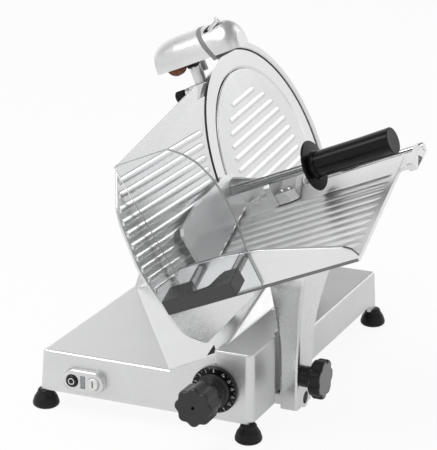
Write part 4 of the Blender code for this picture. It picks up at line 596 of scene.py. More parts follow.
def carve(bm, joins=(), cuts=()):
    """The solid with the joins added and the cuts taken away."""
    made = []

    def loose(mesh_data):
        mesh = bpy.data.meshes.new("loose")
        mesh_data.to_mesh(mesh)
        mesh_data.free()
        obj = bpy.data.objects.new("loose", mesh)
        bpy.context.scene.collection.objects.link(obj)
        made.append(obj)
        return obj

    main = loose(bm)
    for operation, items in (("UNION", joins), ("DIFFERENCE", cuts)):
        for item in items:
            step = main.modifiers.new("step", "BOOLEAN")
            step.operation = operation
            step.solver = "EXACT"
            step.object = loose(item)
    bpy.context.view_layer.update()
    result = bpy.data.meshes.new_from_object(main.evaluated_get(bpy.context.evaluated_depsgraph_get()))
    out = bmesh.new()
    out.from_mesh(result)
    bpy.data.meshes.remove(result)
    for obj in made:
        mesh = obj.data
        bpy.data.objects.remove(obj)
        bpy.data.meshes.remove(mesh)
    bmesh.ops.dissolve_degenerate(out, dist=1e-06, edges=out.edges)
    return out


def piece(name, bm, finish, carrier, *stands_for, slot=None, crease=32, edge=0.0, segments=2):
    """A dressed piece riding on a body, in place of the nodes it stands for."""
    mesh = bpy.data.meshes.new(name)
    bm.to_mesh(mesh)
    bm.free()
    mesh.transform(Matrix.Translation(-SHIFT))
    mesh.materials.clear()
    mesh.materials.append(FINISH[finish])
    mesh.shade_smooth()
    made = bpy.data.objects.new(name, mesh)
    bpy.context.scene.collection.objects.link(made)
    if edge:
        step = made.modifiers.new("edge", "BEVEL")
        step.width = edge
        step.segments = segments
        step.limit_method = "ANGLE"
        step.angle_limit = radians(35)
    else:
        mesh.set_sharp_from_angle(angle=radians(crease))
    normals = made.modifiers.new("normals", "WEIGHTED_NORMAL")
    normals.keep_sharp = True
    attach(made, carrier)
    if stands_for:
        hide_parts(*stands_for)
    return made


def words(text, size, centre, right, up, height):
    """Raised figures standing on a face, as a mesh."""
    curve = bpy.data.curves.new("figures", "FONT")
    curve.body = text
    curve.size = size
    curve.align_x = "CENTER"
    curve.align_y = "CENTER"
    curve.extrude = height / 2
    curve.resolution_u = 6
    obj = bpy.data.objects.new("figures", curve)
    bpy.context.scene.collection.objects.link(obj)
    bpy.context.view_layer.update()
    mesh = bpy.data.meshes.new_from_object(obj.evaluated_get(bpy.context.evaluated_depsgraph_get()))
    bm = bmesh.new()
    bm.from_mesh(mesh)
    out = right.cross(up)
    turn = Matrix((right, up, out)).transposed().to_4x4()
    bmesh.ops.transform(bm, matrix=Matrix.Translation(centre) @ turn, verts=bm.verts)
    bpy.data.objects.remove(obj)
    bpy.data.curves.remove(curve)
    bpy.data.meshes.remove(mesh)
    return bm


def ridge(start, end, normal, width, height, low_end, high_end, sink, power=1.0, steps=9):
    """Rounded rib from start to end that stands off a face, with its ends run down into it."""
    along = end - start
    length = along.length
    along.normalize()
    side = normal.cross(along).normalized()
    rows = []
    stops = [0, 0.15, 0.35, 0.6, 0.85, 1.0]
    taper_low, taper_high = width * 1.1 * low_end, width * 1.1 * high_end
    marks = [(t * taper_low, (1 - (1 - t) ** 2) ** 0.5 if low_end else 1) for t in stops]
    marks += [(length - t * taper_high, (1 - (1 - t) ** 2) ** 0.5 if high_end else 1) for t in reversed(stops)]
    for reach, k in marks:
        k = max(k, 0.04)
        row = []
        for i in range(steps):
            t = pi * i / (steps - 1)
            row.append(start + along * reach - side * (cos(t) * width / 2 * (0.35 + 0.65 * k))
                       + normal * (sin(t) ** power * (height + sink) * k - sink))
        rows.append(row)
    return mesh_of(rows)


def bead(points, radius, sides=10):
    """Round bead along a line of points."""
    rows = []
    for i, point in enumerate(points):
        along = (points[min(i + 1, len(points) - 1)] - points[max(i - 1, 0)]).normalized()
        across = along.cross(TRAY_S).normalized()
        side = along.cross(across)
        rows.append([point + (across * cos(2 * pi * k / sides) + side * sin(2 * pi * k / sides)) * radius
                     for k in range(sides)])
    return mesh_of(rows)


def screw_head(centre, axis, radius, height, hexagon=True, turn=0.3):
    """Button-headed screw with its hexagon socket or cross slot."""
    head = turned([(0, -0.0004), (radius, -0.0004), (radius, height * 0.45), (radius * 0.75, height), (0, height)],
                  centre, axis, 32, ease=radius * 0.15)
    across = axis.orthogonal().normalized()
    side = axis.cross(across)
    if hexagon:
        outline = arc((0, 0), radius * 0.48, turn, 360 + turn, 6)[:6]
        socket = prism(outline, lambda a, b, c: centre + axis * c + across * a + side * b,
                       height * 0.25, height * 2)
        return carve(head, cuts=[socket])
    bars = []
    for angle in (turn, turn + pi / 2):
        u = across * cos(angle) + side * sin(angle)
        v = axis.cross(u)
        outline = rectangle((-radius * 0.6, radius * 0.6), (-radius * 0.13, radius * 0.13))
        bars.append(prism(outline, lambda a, b, c: centre + axis * c + u * a + v * b, height * 0.35, height * 2))
    return carve(head, cuts=bars)


# Base

def ramp_height(x, y):
    run = hypot(RAMP_START, RAMP_BACK - BASE_FRONT)
    uphill = ((RAMP_BACK - BASE_FRONT) / run, RAMP_START / run)
    return BASE_TOP + RAMP_SLOPE * ((x - RAMP_START) * uphill[0] + (y - BASE_FRONT) * uphill[1])


def ramp_crest(y):
    left, right = RAMP_START, BLOCK_LEFT
    for _ in range(40):
        middle = (left + right) / 2
        if ramp_height(middle, y) < BLOCK_TOP + BLOCK_LEFT - middle:
            left = middle
        else:
            right = middle
    return at(left, y, ramp_height(left, y))


def motor_pod(inset):
    sunk = BASE_TOP - (BASE_TOP - BASE_BOTTOM + 0.005 if inset else 0.01)
    right = POD_D - inset
    top_u = POD_TOP_U - inset
    left_x = 0.003 + inset * 1.4
    foot_u = (sunk - right * sin(TILT)) / cos(TILT)
    left_top_d = (left_x + top_u * sin(TILT)) / cos(TILT)
    points = []
    for low_y, high_y in ((POD_FRONT + inset, POD_FRONT_TOP + inset), (POD_BACK - inset, POD_BACK_TOP - inset)):
        points += [at(left_x, low_y, sunk), slope(right, low_y, foot_u), slope(left_top_d, high_y, top_u),
                   slope(right, high_y, top_u)]
    return hull(points, 0.0 if inset else 0.005, 6)


def base():
    inset = BASE_DRAFT
    low = rectangle((BASE_LEFT, BASE_RIGHT), (BASE_FRONT, BASE_REAR))
    high = [(BASE_LEFT + inset, BASE_FRONT), (BASE_RIGHT - 0.001, BASE_FRONT),
            (BASE_RIGHT - 0.001, BASE_REAR - inset), (BASE_LEFT + inset, BASE_REAR - inset)]
    casting = hull([at(x, y, BASE_BOTTOM) for x, y in low] + [at(x, y, BASE_TOP) for x, y in high], 0.004, 6,
                   keep=lambda e: max(v.co.z for v in e.verts) > BASE_BOTTOM + 0.001)
    sunk = BASE_TOP - 0.012
    corner = [(BLOCK_LEFT - 0.01, BASE_FRONT), (BLOCK_RIGHT, BASE_FRONT), (BLOCK_RIGHT, BLOCK_DEPTH),
              (BLOCK_LEFT - 0.01, BLOCK_DEPTH)]
    dial_block = slab(rounded(corner, [0, 0.0095, 0.016, 0], 14), at, BASE_BOTTOM, BLOCK_TOP, 0.003, 4, 60)
    terrace = soften(block((BLOCK_LEFT - 0.01, BASE_RIGHT - 0.001), (BASE_FRONT + 0.02, TERRACE_BACK),
                           (sunk, BLOCK_TOP)), 0.003, 4)
    crests = [ramp_crest(y) for y in (0.03, 0.085, POD_FRONT + 0.01)]
    hump_points = [at(x, BASE_FRONT + 0.0005, sunk) for x in (RAMP_START, BLOCK_LEFT + 0.006)]
    hump_points += [at(RAMP_START, BASE_FRONT + 0.0005, BASE_TOP),
                    at(BLOCK_LEFT, BASE_FRONT + 0.0005, BLOCK_TOP - 0.002),
                    at(BLOCK_LEFT, POD_FRONT + 0.01, BLOCK_TOP), at(BLOCK_LEFT, POD_FRONT + 0.01, sunk),
                    at(0.004, RAMP_BACK - 0.004, BASE_TOP), at(0.004, RAMP_BACK - 0.004, sunk)]
    hump = hull(hump_points + crests, 0.0025, 5)
    below = BASE_BOTTOM - 0.01
    wall_y = BASE_REAR - BASE_DRAFT - BASE_WALL
    cuts = [block((BASE_LEFT + 0.006, UNDER_RIGHT), (BASE_FRONT + BASE_WALL, wall_y),
                  (below, BASE_TOP - BASE_WALL)),
            block((0.22, BLOCK_RIGHT - BASE_WALL - 0.002), (BASE_FRONT + BASE_WALL, BLOCK_DEPTH - 0.01),
                  (below, BLOCK_TOP - BASE_WALL)),
            block((CHANNEL_LEFT, BASE_RIGHT - BASE_WALL), (BLOCK_DEPTH, wall_y), (below, BASE_TOP - BASE_WALL)),
            block((BASE_RIGHT - 0.02, BLOCK_RIGHT + 0.01), (BLOCK_DEPTH - 0.002, BASE_REAR - 0.024),
                  (below, CHANNEL_SILL)),
            motor_pod(BASE_WALL),
            rod(BLADE_RADIUS + 0.015, SPINDLE_LINE, AXIS, HOUSING_FACE - HOUSING_PLATE - 0.004, 0.34, 128),
            rod(MOTOR_SHAFT_RADIUS + 0.002, MOTOR_LINE, AXIS, POD_D - 0.012, POD_D + 0.012),
            block((0.16, 0.203), (GAUGE_ARM_Y - 0.013, GAUGE_ARM_Y + 0.013), (BASE_TOP - 0.02, BASE_TOP + 0.06)),
            rod(DIAL_SHAFT_RADIUS + RUN, DIAL_LINE, BACK, BASE_FRONT - 0.01, BASE_FRONT + 0.012),
            rod(GAUGE_ROD_RADIUS + 0.009, GAUGE_ROD_LINE, AXIS, 0.156, 0.235),
            rod(CAM_LOW + GAUGE_TRAVEL + 0.003, DIAL_LINE, BACK, 0.028, 0.046),
            block((SWITCH_X - 0.024, SWITCH_X + 0.024), (BASE_FRONT - 0.01, BASE_FRONT + 0.012),
                  (SWITCH_Z - 0.0105, SWITCH_Z + 0.0105)),
            rod(0.008 + SEAT, GLAND_LINE, BACK, BASE_REAR - 0.02, BASE_REAR + 0.01),
            rod(GUIDE_ROD_RADIUS + SEAT, at(GUIDE_ROD_X, 0, GUIDE_ROD_Z), BACK, 0.06, 0.082)]
    casting = carve(casting, (dial_block, terrace, hump, motor_pod(0)), cuts)
    piece("base_body", casting, "cast", "base", "base_casting", crease=28)
    dot = rod(0.0009, at(DIAL_X, 0, 0.0951), BACK, BASE_FRONT - 0.0002, BASE_FRONT + 0.001, 24)
    piece("dial_pointer_dot", dot, "dark_ink", "base")


def under_cover():
    edge = 0.0005
    x = (BASE_LEFT + 0.006 + edge, UNDER_RIGHT - edge)
    y = (BASE_FRONT + BASE_WALL + edge, BASE_REAR - BASE_DRAFT - BASE_WALL - edge)
    cover = prism(rounded(rectangle(x, y), 0.004, 8), at, BASE_BOTTOM + 0.0005, BASE_BOTTOM + 0.002)
    low, high = BASE_BOTTOM - 0.01, BASE_BOTTOM + 0.01
    slots = [prism([(0.064 + 0.018 * i + a, 0.28 + b) for b, a in stadium(0.06, 0.008, 8)], at, low, high)
             for i in range(5)]
    bosses = [rod(0.0125, at(0, y, 0), UP, low, high) for y in (0, FOOT_INSET_Y)]
    cover = carve(cover, cuts=[together(*slots), together(*bosses)])
    piece("under_cover", cover, "zinc", "base", "bottom_cover", edge=0.0002)
    heads = [screw_head(at(x, y, BASE_BOTTOM + 0.0006), -UP, 0.003, 0.0018, False, 0.4 + x * 9)
             for x, y in ((0.016, 0.025), (0.115, 0.012), (0.222, 0.025), (0.016, 0.41), (0.115, 0.42),
                          (0.222, 0.41))]
    piece("under_cover_screws", together(*heads), "zinc", "base")


def feet():
    height = BASE_BOTTOM - SEAT
    profile = [(0, 0), (FOOT_RADIUS - 0.0035, 0), (FOOT_RADIUS, 0.003), (FOOT_RADIUS, 0.0065),
               (FOOT_RADIUS - 0.0022, 0.013), (FOOT_RADIUS - 0.006, 0.019), (0.0095, height), (0, height)]
    for name, x, y in (("front_left", 0, 0), ("front_right", FOOT_INSET_X, 0), ("rear_left", 0, FOOT_INSET_Y),
                       ("rear_right", FOOT_INSET_X, FOOT_INSET_Y)):
        piece("rubber_foot_" + name, turned(profile, at(x, y, 0), UP, 64, ease=0.004, steps=8), "rubber", "base",
              "foot_" + name)


# Blade group

def around_two(first, first_radius, second, second_radius, steps):
    reach = hypot(second[0] - first[0], second[1] - first[1])
    heading = atan2(second[1] - first[1], second[0] - first[0])
    open_angle = acos((first_radius - second_radius) / reach)
    start = (heading + open_angle) * 180 / pi
    end = (heading - open_angle) * 180 / pi
    return arc(first, first_radius, start, end + 360, steps * 2) + arc(second, second_radius, end, start, steps)


def on_plate(a, b, c):
    return slope(c, BLADE_Y + a, BLADE_U + b)


def housing():
    low = BLADE_RADIUS - 0.012
    plate = arc((0, 0), GUARD_RADIUS, -74, 86, 80) + arc((0, 0), low, 88, 284, 72)
    body = slab(plate, on_plate, HOUSING_FACE - HOUSING_PLATE, HOUSING_FACE, 0.0008, 2, 50)
    down = (MOTOR_Y - BLADE_Y, MOTOR_U - BLADE_U)
    outer = around_two((0, 0), BLADE_PULLEY_RADIUS + 0.014, down, MOTOR_PULLEY_RADIUS + 0.016, 36)
    inner = around_two((0, 0), BLADE_PULLEY_RADIUS + 0.008, down, MOTOR_PULLEY_RADIUS + 0.01, 36)
    hub = BEARING_RADIUS + 0.008
    socket = slab(rectangle((POST_D - SOCKET_SIDE + 0.0105, HOUSING_FACE - 0.001),
                            (SHARPENER_Y - 0.015, SHARPENER_Y + 0.015)), slope, BLADE_U + 0.095,
                  SHARPENER_LOW - 0.024, 0.002, 4)
    boss = turned(raised(HOUSING_BACK, [(0, -0.026), (hub - 0.004, -0.026), (hub, -0.02), (hub + 0.004, 0.002),
                                        (0, 0.002)]), SPINDLE_LINE, AXIS, 72, ease=0.002)
    body = carve(body, (slab(outer, on_plate, HOUSING_BACK, HOUSING_FACE - 0.001, 0.003, 4, 60), boss, socket,
                        rod(0.0085, CLAMP_LINE, AXIS, POST_D - SOCKET_SIDE, POST_D - 0.01)),
                 (prism(inner, on_plate, HOUSING_BACK + HOUSING_WALL, HOUSING_FACE + 0.01),
                  rod(BEARING_RADIUS + SEAT, SPINDLE_LINE, AXIS, HOUSING_BACK - 0.023,
                      HOUSING_BACK + HOUSING_WALL + 0.01),
                  rod(SPINDLE_RADIUS + 0.002, SPINDLE_LINE, AXIS, HOUSING_BACK - 0.04, HOUSING_BACK),
                  rod(MOTOR_SHAFT_RADIUS + 0.002, MOTOR_LINE, AXIS, HOUSING_BACK - 0.02, HOUSING_BACK + 0.02),
                  rod(POST_RADIUS + RUN, POST_LINE, RISE, SHARPENER_LOW - 0.052, SHARPENER_LOW),
                  rod(0.003 + SEAT, CLAMP_LINE, AXIS, POST_D - 0.035, POST_D)))
    piece("blade_backing_casting", body, "cast", "base", "blade_housing")
    arcs = arc((0, 0), GUARD_RADIUS, -74, 86, 96) + arc((0, 0), BLADE_RADIUS + SWEEP, 86, -74, 96)
    ring = slab(arcs, on_plate, HOUSING_FACE + SEAT, BLADE_D + GUARD_PROUD, 0.0014, 4, 50)
    piece("blade_ring_guard", ring, "cast", "base", "ring_guard")


def blade_and_cover():
    profile = [(0.0103, -BLADE_DISH - 0.0026), (BLADE_DISH_RADIUS - 0.004, -BLADE_DISH),
               (BLADE_DISH_RADIUS, -0.0003), (BLADE_RADIUS - 0.0022, 0.0), (BLADE_RADIUS, -0.0001),
               (BLADE_RADIUS - 0.009, 0.0006 - BLADE_THICKNESS),
               (BLADE_DISH_RADIUS - 0.002, -BLADE_THICKNESS - 0.0006),
               (0.06, -BLADE_THICKNESS - BLADE_DISH - 0.0016), (0.0103, -BLADE_THICKNESS - BLADE_DISH - 0.002)]
    piece("slicing_blade", turned(profile, HUB, AXIS, 256, closed=True), "blade", "blade", "blade", crease=9)
    seat = BLADE_D - BLADE_DISH + RUN
    face = seat + COVER_THICKNESS
    disc = turned([(0, seat), (COVER_RADIUS, seat), (COVER_RADIUS, face), (0, face)], SPINDLE_LINE, AXIS, 224,
                  ease=0.001, steps=4)
    along = BACK * cos(COVER_RIB_LEAN) + RISE * sin(COVER_RIB_LEAN)
    across = RISE * cos(COVER_RIB_LEAN) - BACK * sin(COVER_RIB_LEAN)
    middle = slope(face, BLADE_Y, BLADE_U)
    ribs = []
    for i in range(COVER_RIB_COUNT):
        offset = (i - COVER_RIB_COUNT // 2) * COVER_RIB_PITCH
        half = (COVER_RIB_REACH ** 2 - offset ** 2) ** 0.5
        row = middle + across * offset
        ribs.append(ridge(row + along * (-half * 0.93), row + along * half, AXIS, 0.009, 0.0012, 1, 1, 0.0002, 2.6,
                          15))
    stem = rod(SPINDLE_BORE - 0.0015, SPINDLE_LINE, AXIS, HOUSING_BACK - 0.034, seat + 0.001)
    piece("ribbed_blade_cover", together(disc, stem, *ribs), "cover", "base", "blade_cover", crease=40)


def lobed(radius, depth, lobes, steps, power=1.3):
    points = []
    for i in range(steps):
        t = 2 * pi * i / steps
        r = radius - depth * (0.5 - 0.5 * cos(lobes * t)) ** power
        points.append((r * cos(t), r * sin(t)))
    return points


def cover_knob():
    back = HOUSING_BACK - 0.026 - SEAT
    knob = stacked(lobed(0.017, 0.0018, 6, 96), lambda a, b, c: slope(back - c, BLADE_Y + a, BLADE_U + b),
                   ((0.003, 0.93), (0.0036, 0.98), (0.0046, 1.0), (0.016, 1.0), (0.0172, 0.97), (0.018, 0.9)))
    knob = carve(knob, [rod(0.0145, slope(back, BLADE_Y, BLADE_U), AXIS, -0.0042, 0)],
                 [rod(SPINDLE_BORE - 0.0015 + SEAT, SPINDLE_LINE, AXIS, back - 0.0095, back + 0.01)])
    piece("tie_rod_knob", knob, "black", "cover_knob", "blade_cover_knob")


def deflector():
    face = HOUSING_FACE - HOUSING_PLATE - SEAT
    radius = BLADE_RADIUS - 0.02
    rows = [(face, radius), (face - 0.014, radius - 0.004), (face - 0.03, radius - 0.016)]
    loops = []
    for i in range(49):
        t = radians(160 + 76 * i / 48)
        line = rows + [(d, r - 0.0016) for d, r in reversed(rows)]
        loops.append([slope(d, BLADE_Y + r * cos(t), BLADE_U + r * sin(t)) for d, r in line])
    piece("slice_deflector_sheet", mesh_of(loops), "plate", "base", "slice_deflector", edge=0.0003)


# Gauge plate

def gauge_outline():
    reach = BLADE_RADIUS + GAUGE_GAP
    arc_points = arc((BLADE_Y, BLADE_U), reach, 222, 131, 72)
    end = radians(222)
    arc_end = (BLADE_Y + reach * cos(end), BLADE_U + reach * sin(end))
    start = radians(131)
    arc_top = (BLADE_Y + reach * cos(start), BLADE_U + reach * sin(start))
    line = [(0.21, 0.302), (-0.052, 0.263), (-0.093, 0.213), (-0.093, 0.145), (-0.055, 0.053), (-0.008, 0.0235),
            (0.142, 0.0325)]
    radii = [0.004, 0.012, 0.05, 0.06, 0.08, 0.016, 0.01]
    shape = rounded(line + [arc_end, arc_top, (0.19, 0.284)], radii + [0, 0, 0], 10)
    first = arc_points[0]
    index = min(range(len(shape)), key=lambda i: hypot(shape[i][0] - first[0], shape[i][1] - first[1]))
    return shape[:index] + arc_points + shape[index + 2:]


def gauge_edge(u, side):
    crossings = []
    outline = gauge_outline()
    for (y0, u0), (y1, u1) in zip(outline, outline[1:] + outline[:1]):
        if (u0 - u) * (u1 - u) < 0:
            crossings.append(y0 + (y1 - y0) * (u - u0) / (u1 - u0))
    return min(crossings) if side < 0 else max(crossings)


def gauge():
    floor = BLADE_D - GAUGE_RIB_HEIGHT
    plate = slab(gauge_outline(), slope_face, BLADE_D - GAUGE_THICKNESS, floor, 0.0009, 3, 50)
    reach = BLADE_RADIUS + GAUGE_GAP + 0.009
    ribs = []
    for i in range(GAUGE_RIB_COUNT):
        u = GAUGE_RIB_TOP - GAUGE_RIB_PITCH * i
        start = gauge_edge(u, -1) + 0.0035
        if abs(u - BLADE_U) < reach:
            stop = BLADE_Y - (reach ** 2 - (u - BLADE_U) ** 2) ** 0.5
        else:
            stop = gauge_edge(u, 1) - 0.006
        ribs.append(ridge(slope(floor, start, u), slope(floor, stop, u), AXIS, 0.0094, GAUGE_RIB_HEIGHT, 0.3, 1.2,
                          0.0003, 1.0, 15))
    piece("ribbed_gauge_plate", together(plate, *ribs), "plate", "gauge", "gauge_plate", crease=35)
    y0, y1 = GAUGE_ARM_Y - 0.011, GAUGE_ARM_Y + 0.011
    back = BLADE_D - GAUGE_THICKNESS - SEAT
    outline = [(back, 0.1), (back, 0.045), (0.216, 0.012), (0.207, -0.016), (0.207, -0.038), (0.19, -0.038),
               (0.19, -0.016), (0.198, 0.014), (back - 0.012, 0.055), (back - 0.008, 0.1)]
    arm = slab(rounded(outline, [0, 0, 0.006, 0.006, 0, 0, 0.006, 0.006, 0.01, 0.003], 5), slope_side, y0, y1,
               0.0012, 3)
    foot = prism(rectangle((0.1905, 0.2065), (-0.0375, -0.0165)), slope_side, GAUGE_ROD_Y, GAUGE_ARM_Y)
    arm = carve(arm, [foot, rod(GAUGE_ROD_RADIUS + 0.006, GAUGE_ROD_LINE, AXIS, 0.1725, 0.2269, 48, 0.0008)],
                [rod(GAUGE_ROD_RADIUS + RUN, GAUGE_ROD_LINE, AXIS, 0.1625, 0.2239)])
    piece("gauge_carrier_arm", arm, "rough_cast", "gauge", "gauge_bracket")
    heads = [screw_head(slope(back - 0.0078 - (0.1 - u) * 0.08, GAUGE_ARM_Y, u), -AXIS, 0.0032, 0.0022)
             for u in (0.07, 0.09)]
    piece("gauge_arm_screws", together(*heads), "steel", "gauge")


# Controls

def dial():
    face = BASE_FRONT - KNOB_REACH
    low = BASE_FRONT - SEAT - DIAL_THICKNESS
    hub = raised(SEAT - low, [(0, 0), (0.0215, 0), (0.0215, 0.0035), (0.018, 0.0045), (0.018, 0.0085),
                               (0.015, 0.0095), (0.014, 0.023), (0.015, 0.033), (0, 0.033)])
    star = stacked(lobed(KNOB_RADIUS, 0.003, KNOB_LOBES, 192), lambda a, b, c: at(DIAL_X + a, face + c, DIAL_Z + b),
                   ((0.037, 0.78), (0.0345, 0.86), (0.031, 0.94), (0.0275, 0.985), (0.025, 1.0), (0.004, 1.0),
                    (0.0022, 0.993), (0.0008, 0.97), (0, 0.93)))
    knob = carve(star, (turned(hub, DIAL_LINE, -BACK, 96, ease=0.0007),
                        rod(DIAL_SHAFT_RADIUS, DIAL_LINE, BACK, -0.03, 0.052)),
                 [rod(0.0022, DIAL_LINE, BACK, face - 0.01, face + 0.004)])
    piece("dial_star_knob", knob, "grey", "dial", "dial_knob")
    bore = DIAL_SHAFT_RADIUS + SEAT
    disc = raised(low, [(bore, 0), (DIAL_RADIUS - 0.0014, 0), (DIAL_RADIUS, 0.0014), (DIAL_RADIUS, DIAL_THICKNESS),
                        (bore, DIAL_THICKNESS)])
    piece("dial_scale_disc", turned(disc, DIAL_LINE, BACK, 128, closed=True), "gloss_black", "dial", "dial_disc")
    marks = []
    for i in range(SCALE_FIGURES * 2 - 1):
        t = radians(90 + SCALE_TURN / (SCALE_FIGURES - 1) * i / 2)
        out = at(cos(t), 0, sin(t))
        side = at(-sin(t), 0, cos(t))
        major = i % 2 == 0
        reach, half = (0.003, 0.00028) if major else (0.0023, 0.0002)
        outline = rectangle((-half, half), (DIAL_RADIUS - 0.0015, DIAL_RADIUS - reach))
        marks.append(prism(outline, lambda b, a, y: DIAL_LINE + out * a + side * b + BACK * y, low + 0.0002,
                           low - 0.00012))
        if major:
            marks.append(words(str(i // 2), 0.0042, DIAL_LINE + out * 0.0242 + BACK * (low - 5e-05), -side, out,
                               0.0002))
    piece("dial_scale_figures", together(*marks), "ink", "dial")


def switch():

    def face(a, b, shrink):
        return (a * (1 + shrink / (SWITCH_WIDTH / 2)), b * (1 + shrink / (SWITCH_HEIGHT / 2)))

    rows = []
    for y, shrink in ((SEAT, 0.0), (0.0066, 0.0), (0.0078, -0.0003), (0.0088, -0.001), (0.0093, -0.002),
                      (0.0095, -0.0032)):
        spots = [face(a, b, shrink) for a, b in stadium(SWITCH_WIDTH, SWITCH_HEIGHT)]
        rows.append([at(SWITCH_X + a, BASE_FRONT - y, SWITCH_Z + b) for a, b in spots])
    buttons = [at(SWITCH_X + side * BUTTON_SPREAD, 0, SWITCH_Z) for side in (-1, 1)]
    cuts = [rod(0.0082 + SEAT, spot, BACK, BASE_FRONT - 0.02, BASE_FRONT + 0.004) for spot in buttons]

    def window(half_x, half_z, front, back):
        return block((SWITCH_X - half_x, SWITCH_X + half_x), (BASE_FRONT + front, BASE_FRONT + back),
                     (SWITCH_Z - half_z, SWITCH_Z + half_z))

    half_x, half_z = LAMP_HALF
    cuts.append(window(half_x + SEAT, half_z + SEAT, -0.02, 0.002))
    bezel = carve(mesh_of(rows), [window(0.0235, 0.01, -0.004, 0.024)], cuts)
    piece("switch_bezel", bezel, "cast", "base", "switch_housing")
    low = BASE_FRONT - 0.0125
    for name, spot, finish in zip(("stop", "start"), buttons, ("black", "white")):
        profile = raised(low, [(0, 0.0007), (0.0052, 0.0004), (0.0066, 0), (0.0078, 0.0014)])
        profile += [(0.0078, BASE_FRONT - 0.0004), (0, BASE_FRONT - 0.0004)]
        piece(name + "_cap", turned(profile, spot, BACK, 72, ease=0.0004), finish, name + "_button",
              name + "_button")
    ring = raised(low, [(0.0032, 0.0003), (0.0042, 0.0003), (0.0042, 0.0009), (0.0032, 0.0009)])
    piece("stop_mark", turned(ring, buttons[0], BACK, 64, closed=True), "ink", "stop_button")
    x = SWITCH_X + BUTTON_SPREAD
    bar = block((x - 0.0006, x + 0.0006), (low + 0.0002, low + 0.0009), (SWITCH_Z - 0.0044, SWITCH_Z + 0.0044))
    piece("start_mark", bar, "dark_ink", "start_button")
    piece("lamp_lens", soften(window(half_x, half_z, -0.0105, 0.0015), 0.001, 4), "lens", "base", "indicator_lamp")


def gland():
    wall = BASE_REAR - BASE_DRAFT / 2 + SEAT + 0.0014
    profile = raised(wall, [(0.0045, -0.016), (0.008, -0.016), (0.008, 0.0004), (0.0095, 0.004), (0.0095, 0.011),
                            (0.007, 0.0155), (0.0045, 0.016)])
    body = turned(profile, GLAND_LINE, BACK, 72, closed=True, ease=0.0004)
    nut = slab(arc((0, 0), 0.0115, 0, 360, 6)[:6], lambda a, b, c: at(GLAND_X + a, c, GLAND_Z + b), wall,
               wall + 0.0034, 0.0004, 2)
    ribs = []
    for i in range(20):
        t = 2 * pi * i / 20
        x, z = GLAND_X + 0.0094 * cos(t), GLAND_Z + 0.0094 * sin(t)
        ribs.append(ridge(at(x, wall + 0.0045, z), at(x, wall + 0.0108, z), at(cos(t), 0, sin(t)), 0.0011, 0.0005,
                          0.6, 0.6, 0.0002))
    piece("cable_inlet", together(body, nut, *ribs), "black", "base", "cable_gland")


# Carriage

def smooth_rows(table, count):
    """Rows between the given ones, on a curve through them."""
    out = []
    for k in range(count + 1):
        t = k / count * (len(table) - 1)
        i = min(int(t), len(table) - 2)
        f = t - i
        p0, p1, p2, p3 = table[max(i - 1, 0)], table[i], table[i + 1], table[min(i + 2, len(table) - 1)]
        out.append([0.5 * (2 * b + (c - a) * f + (2 * a - 5 * b + 4 * c - d) * f * f
                           + (3 * b - a - 3 * c + d) * f ** 3) for a, b, c, d in zip(p0, p1, p2, p3)])
    return out


def arm():
    sections = [(ARM_BOTTOM, 0.2815, 0.305, 0.078, 0.128), (0.04, 0.2815, 0.306, 0.076, 0.1275),
                (0.065, 0.2815, 0.307, 0.075, 0.1265), (0.095, 0.282, 0.309, 0.072, 0.124),
                (0.125, 0.2835, 0.314, 0.062, 0.12), (0.155, 0.2855, 0.321, 0.046, 0.118),
                (0.185, 0.2875, 0.33, 0.029, 0.117), (0.215, 0.2895, 0.339, 0.016, 0.117),
                (0.285, 0.294, 0.35, 0.012, 0.12)]
    rows = []
    for z, x0, x1, y0, y1 in smooth_rows(sections, 48):
        outline = rounded(rectangle((x0, x1), (y0, y1)), [0.005, 0.004, 0.006, 0.005], 8)
        rows.append([at(x, y, z) for x, y in outline])
    foot_plate = block((GUIDE_ROD_X - 0.0125, 0.286), (0.088, 0.124), (ARM_BOTTOM + 0.0005, 0.03))
    lug = rod(0.0125, at(0, LUG_Y, LUG_Z), RIGHT, 0.2818, 0.3052, 72)
    under = TRAY_BOTTOM - SEAT
    face = [tray(a, b, under) for a, b in ((-0.1, -0.1), (0.4, -0.1), (0.4, 0.4), (-0.1, 0.4))]
    body = carve(mesh_of(rows), (soften(foot_plate, 0.0015, 3), lug),
                 (mesh_of([face, [p + TRAY_H * 0.15 for p in face]]),
                  rod(0.008, at(0, LUG_Y, LUG_Z), RIGHT, 0.287, 0.33, 64)))
    piece("carriage_cast_arm", body, "arm_cast", "carriage", "carriage_arm")


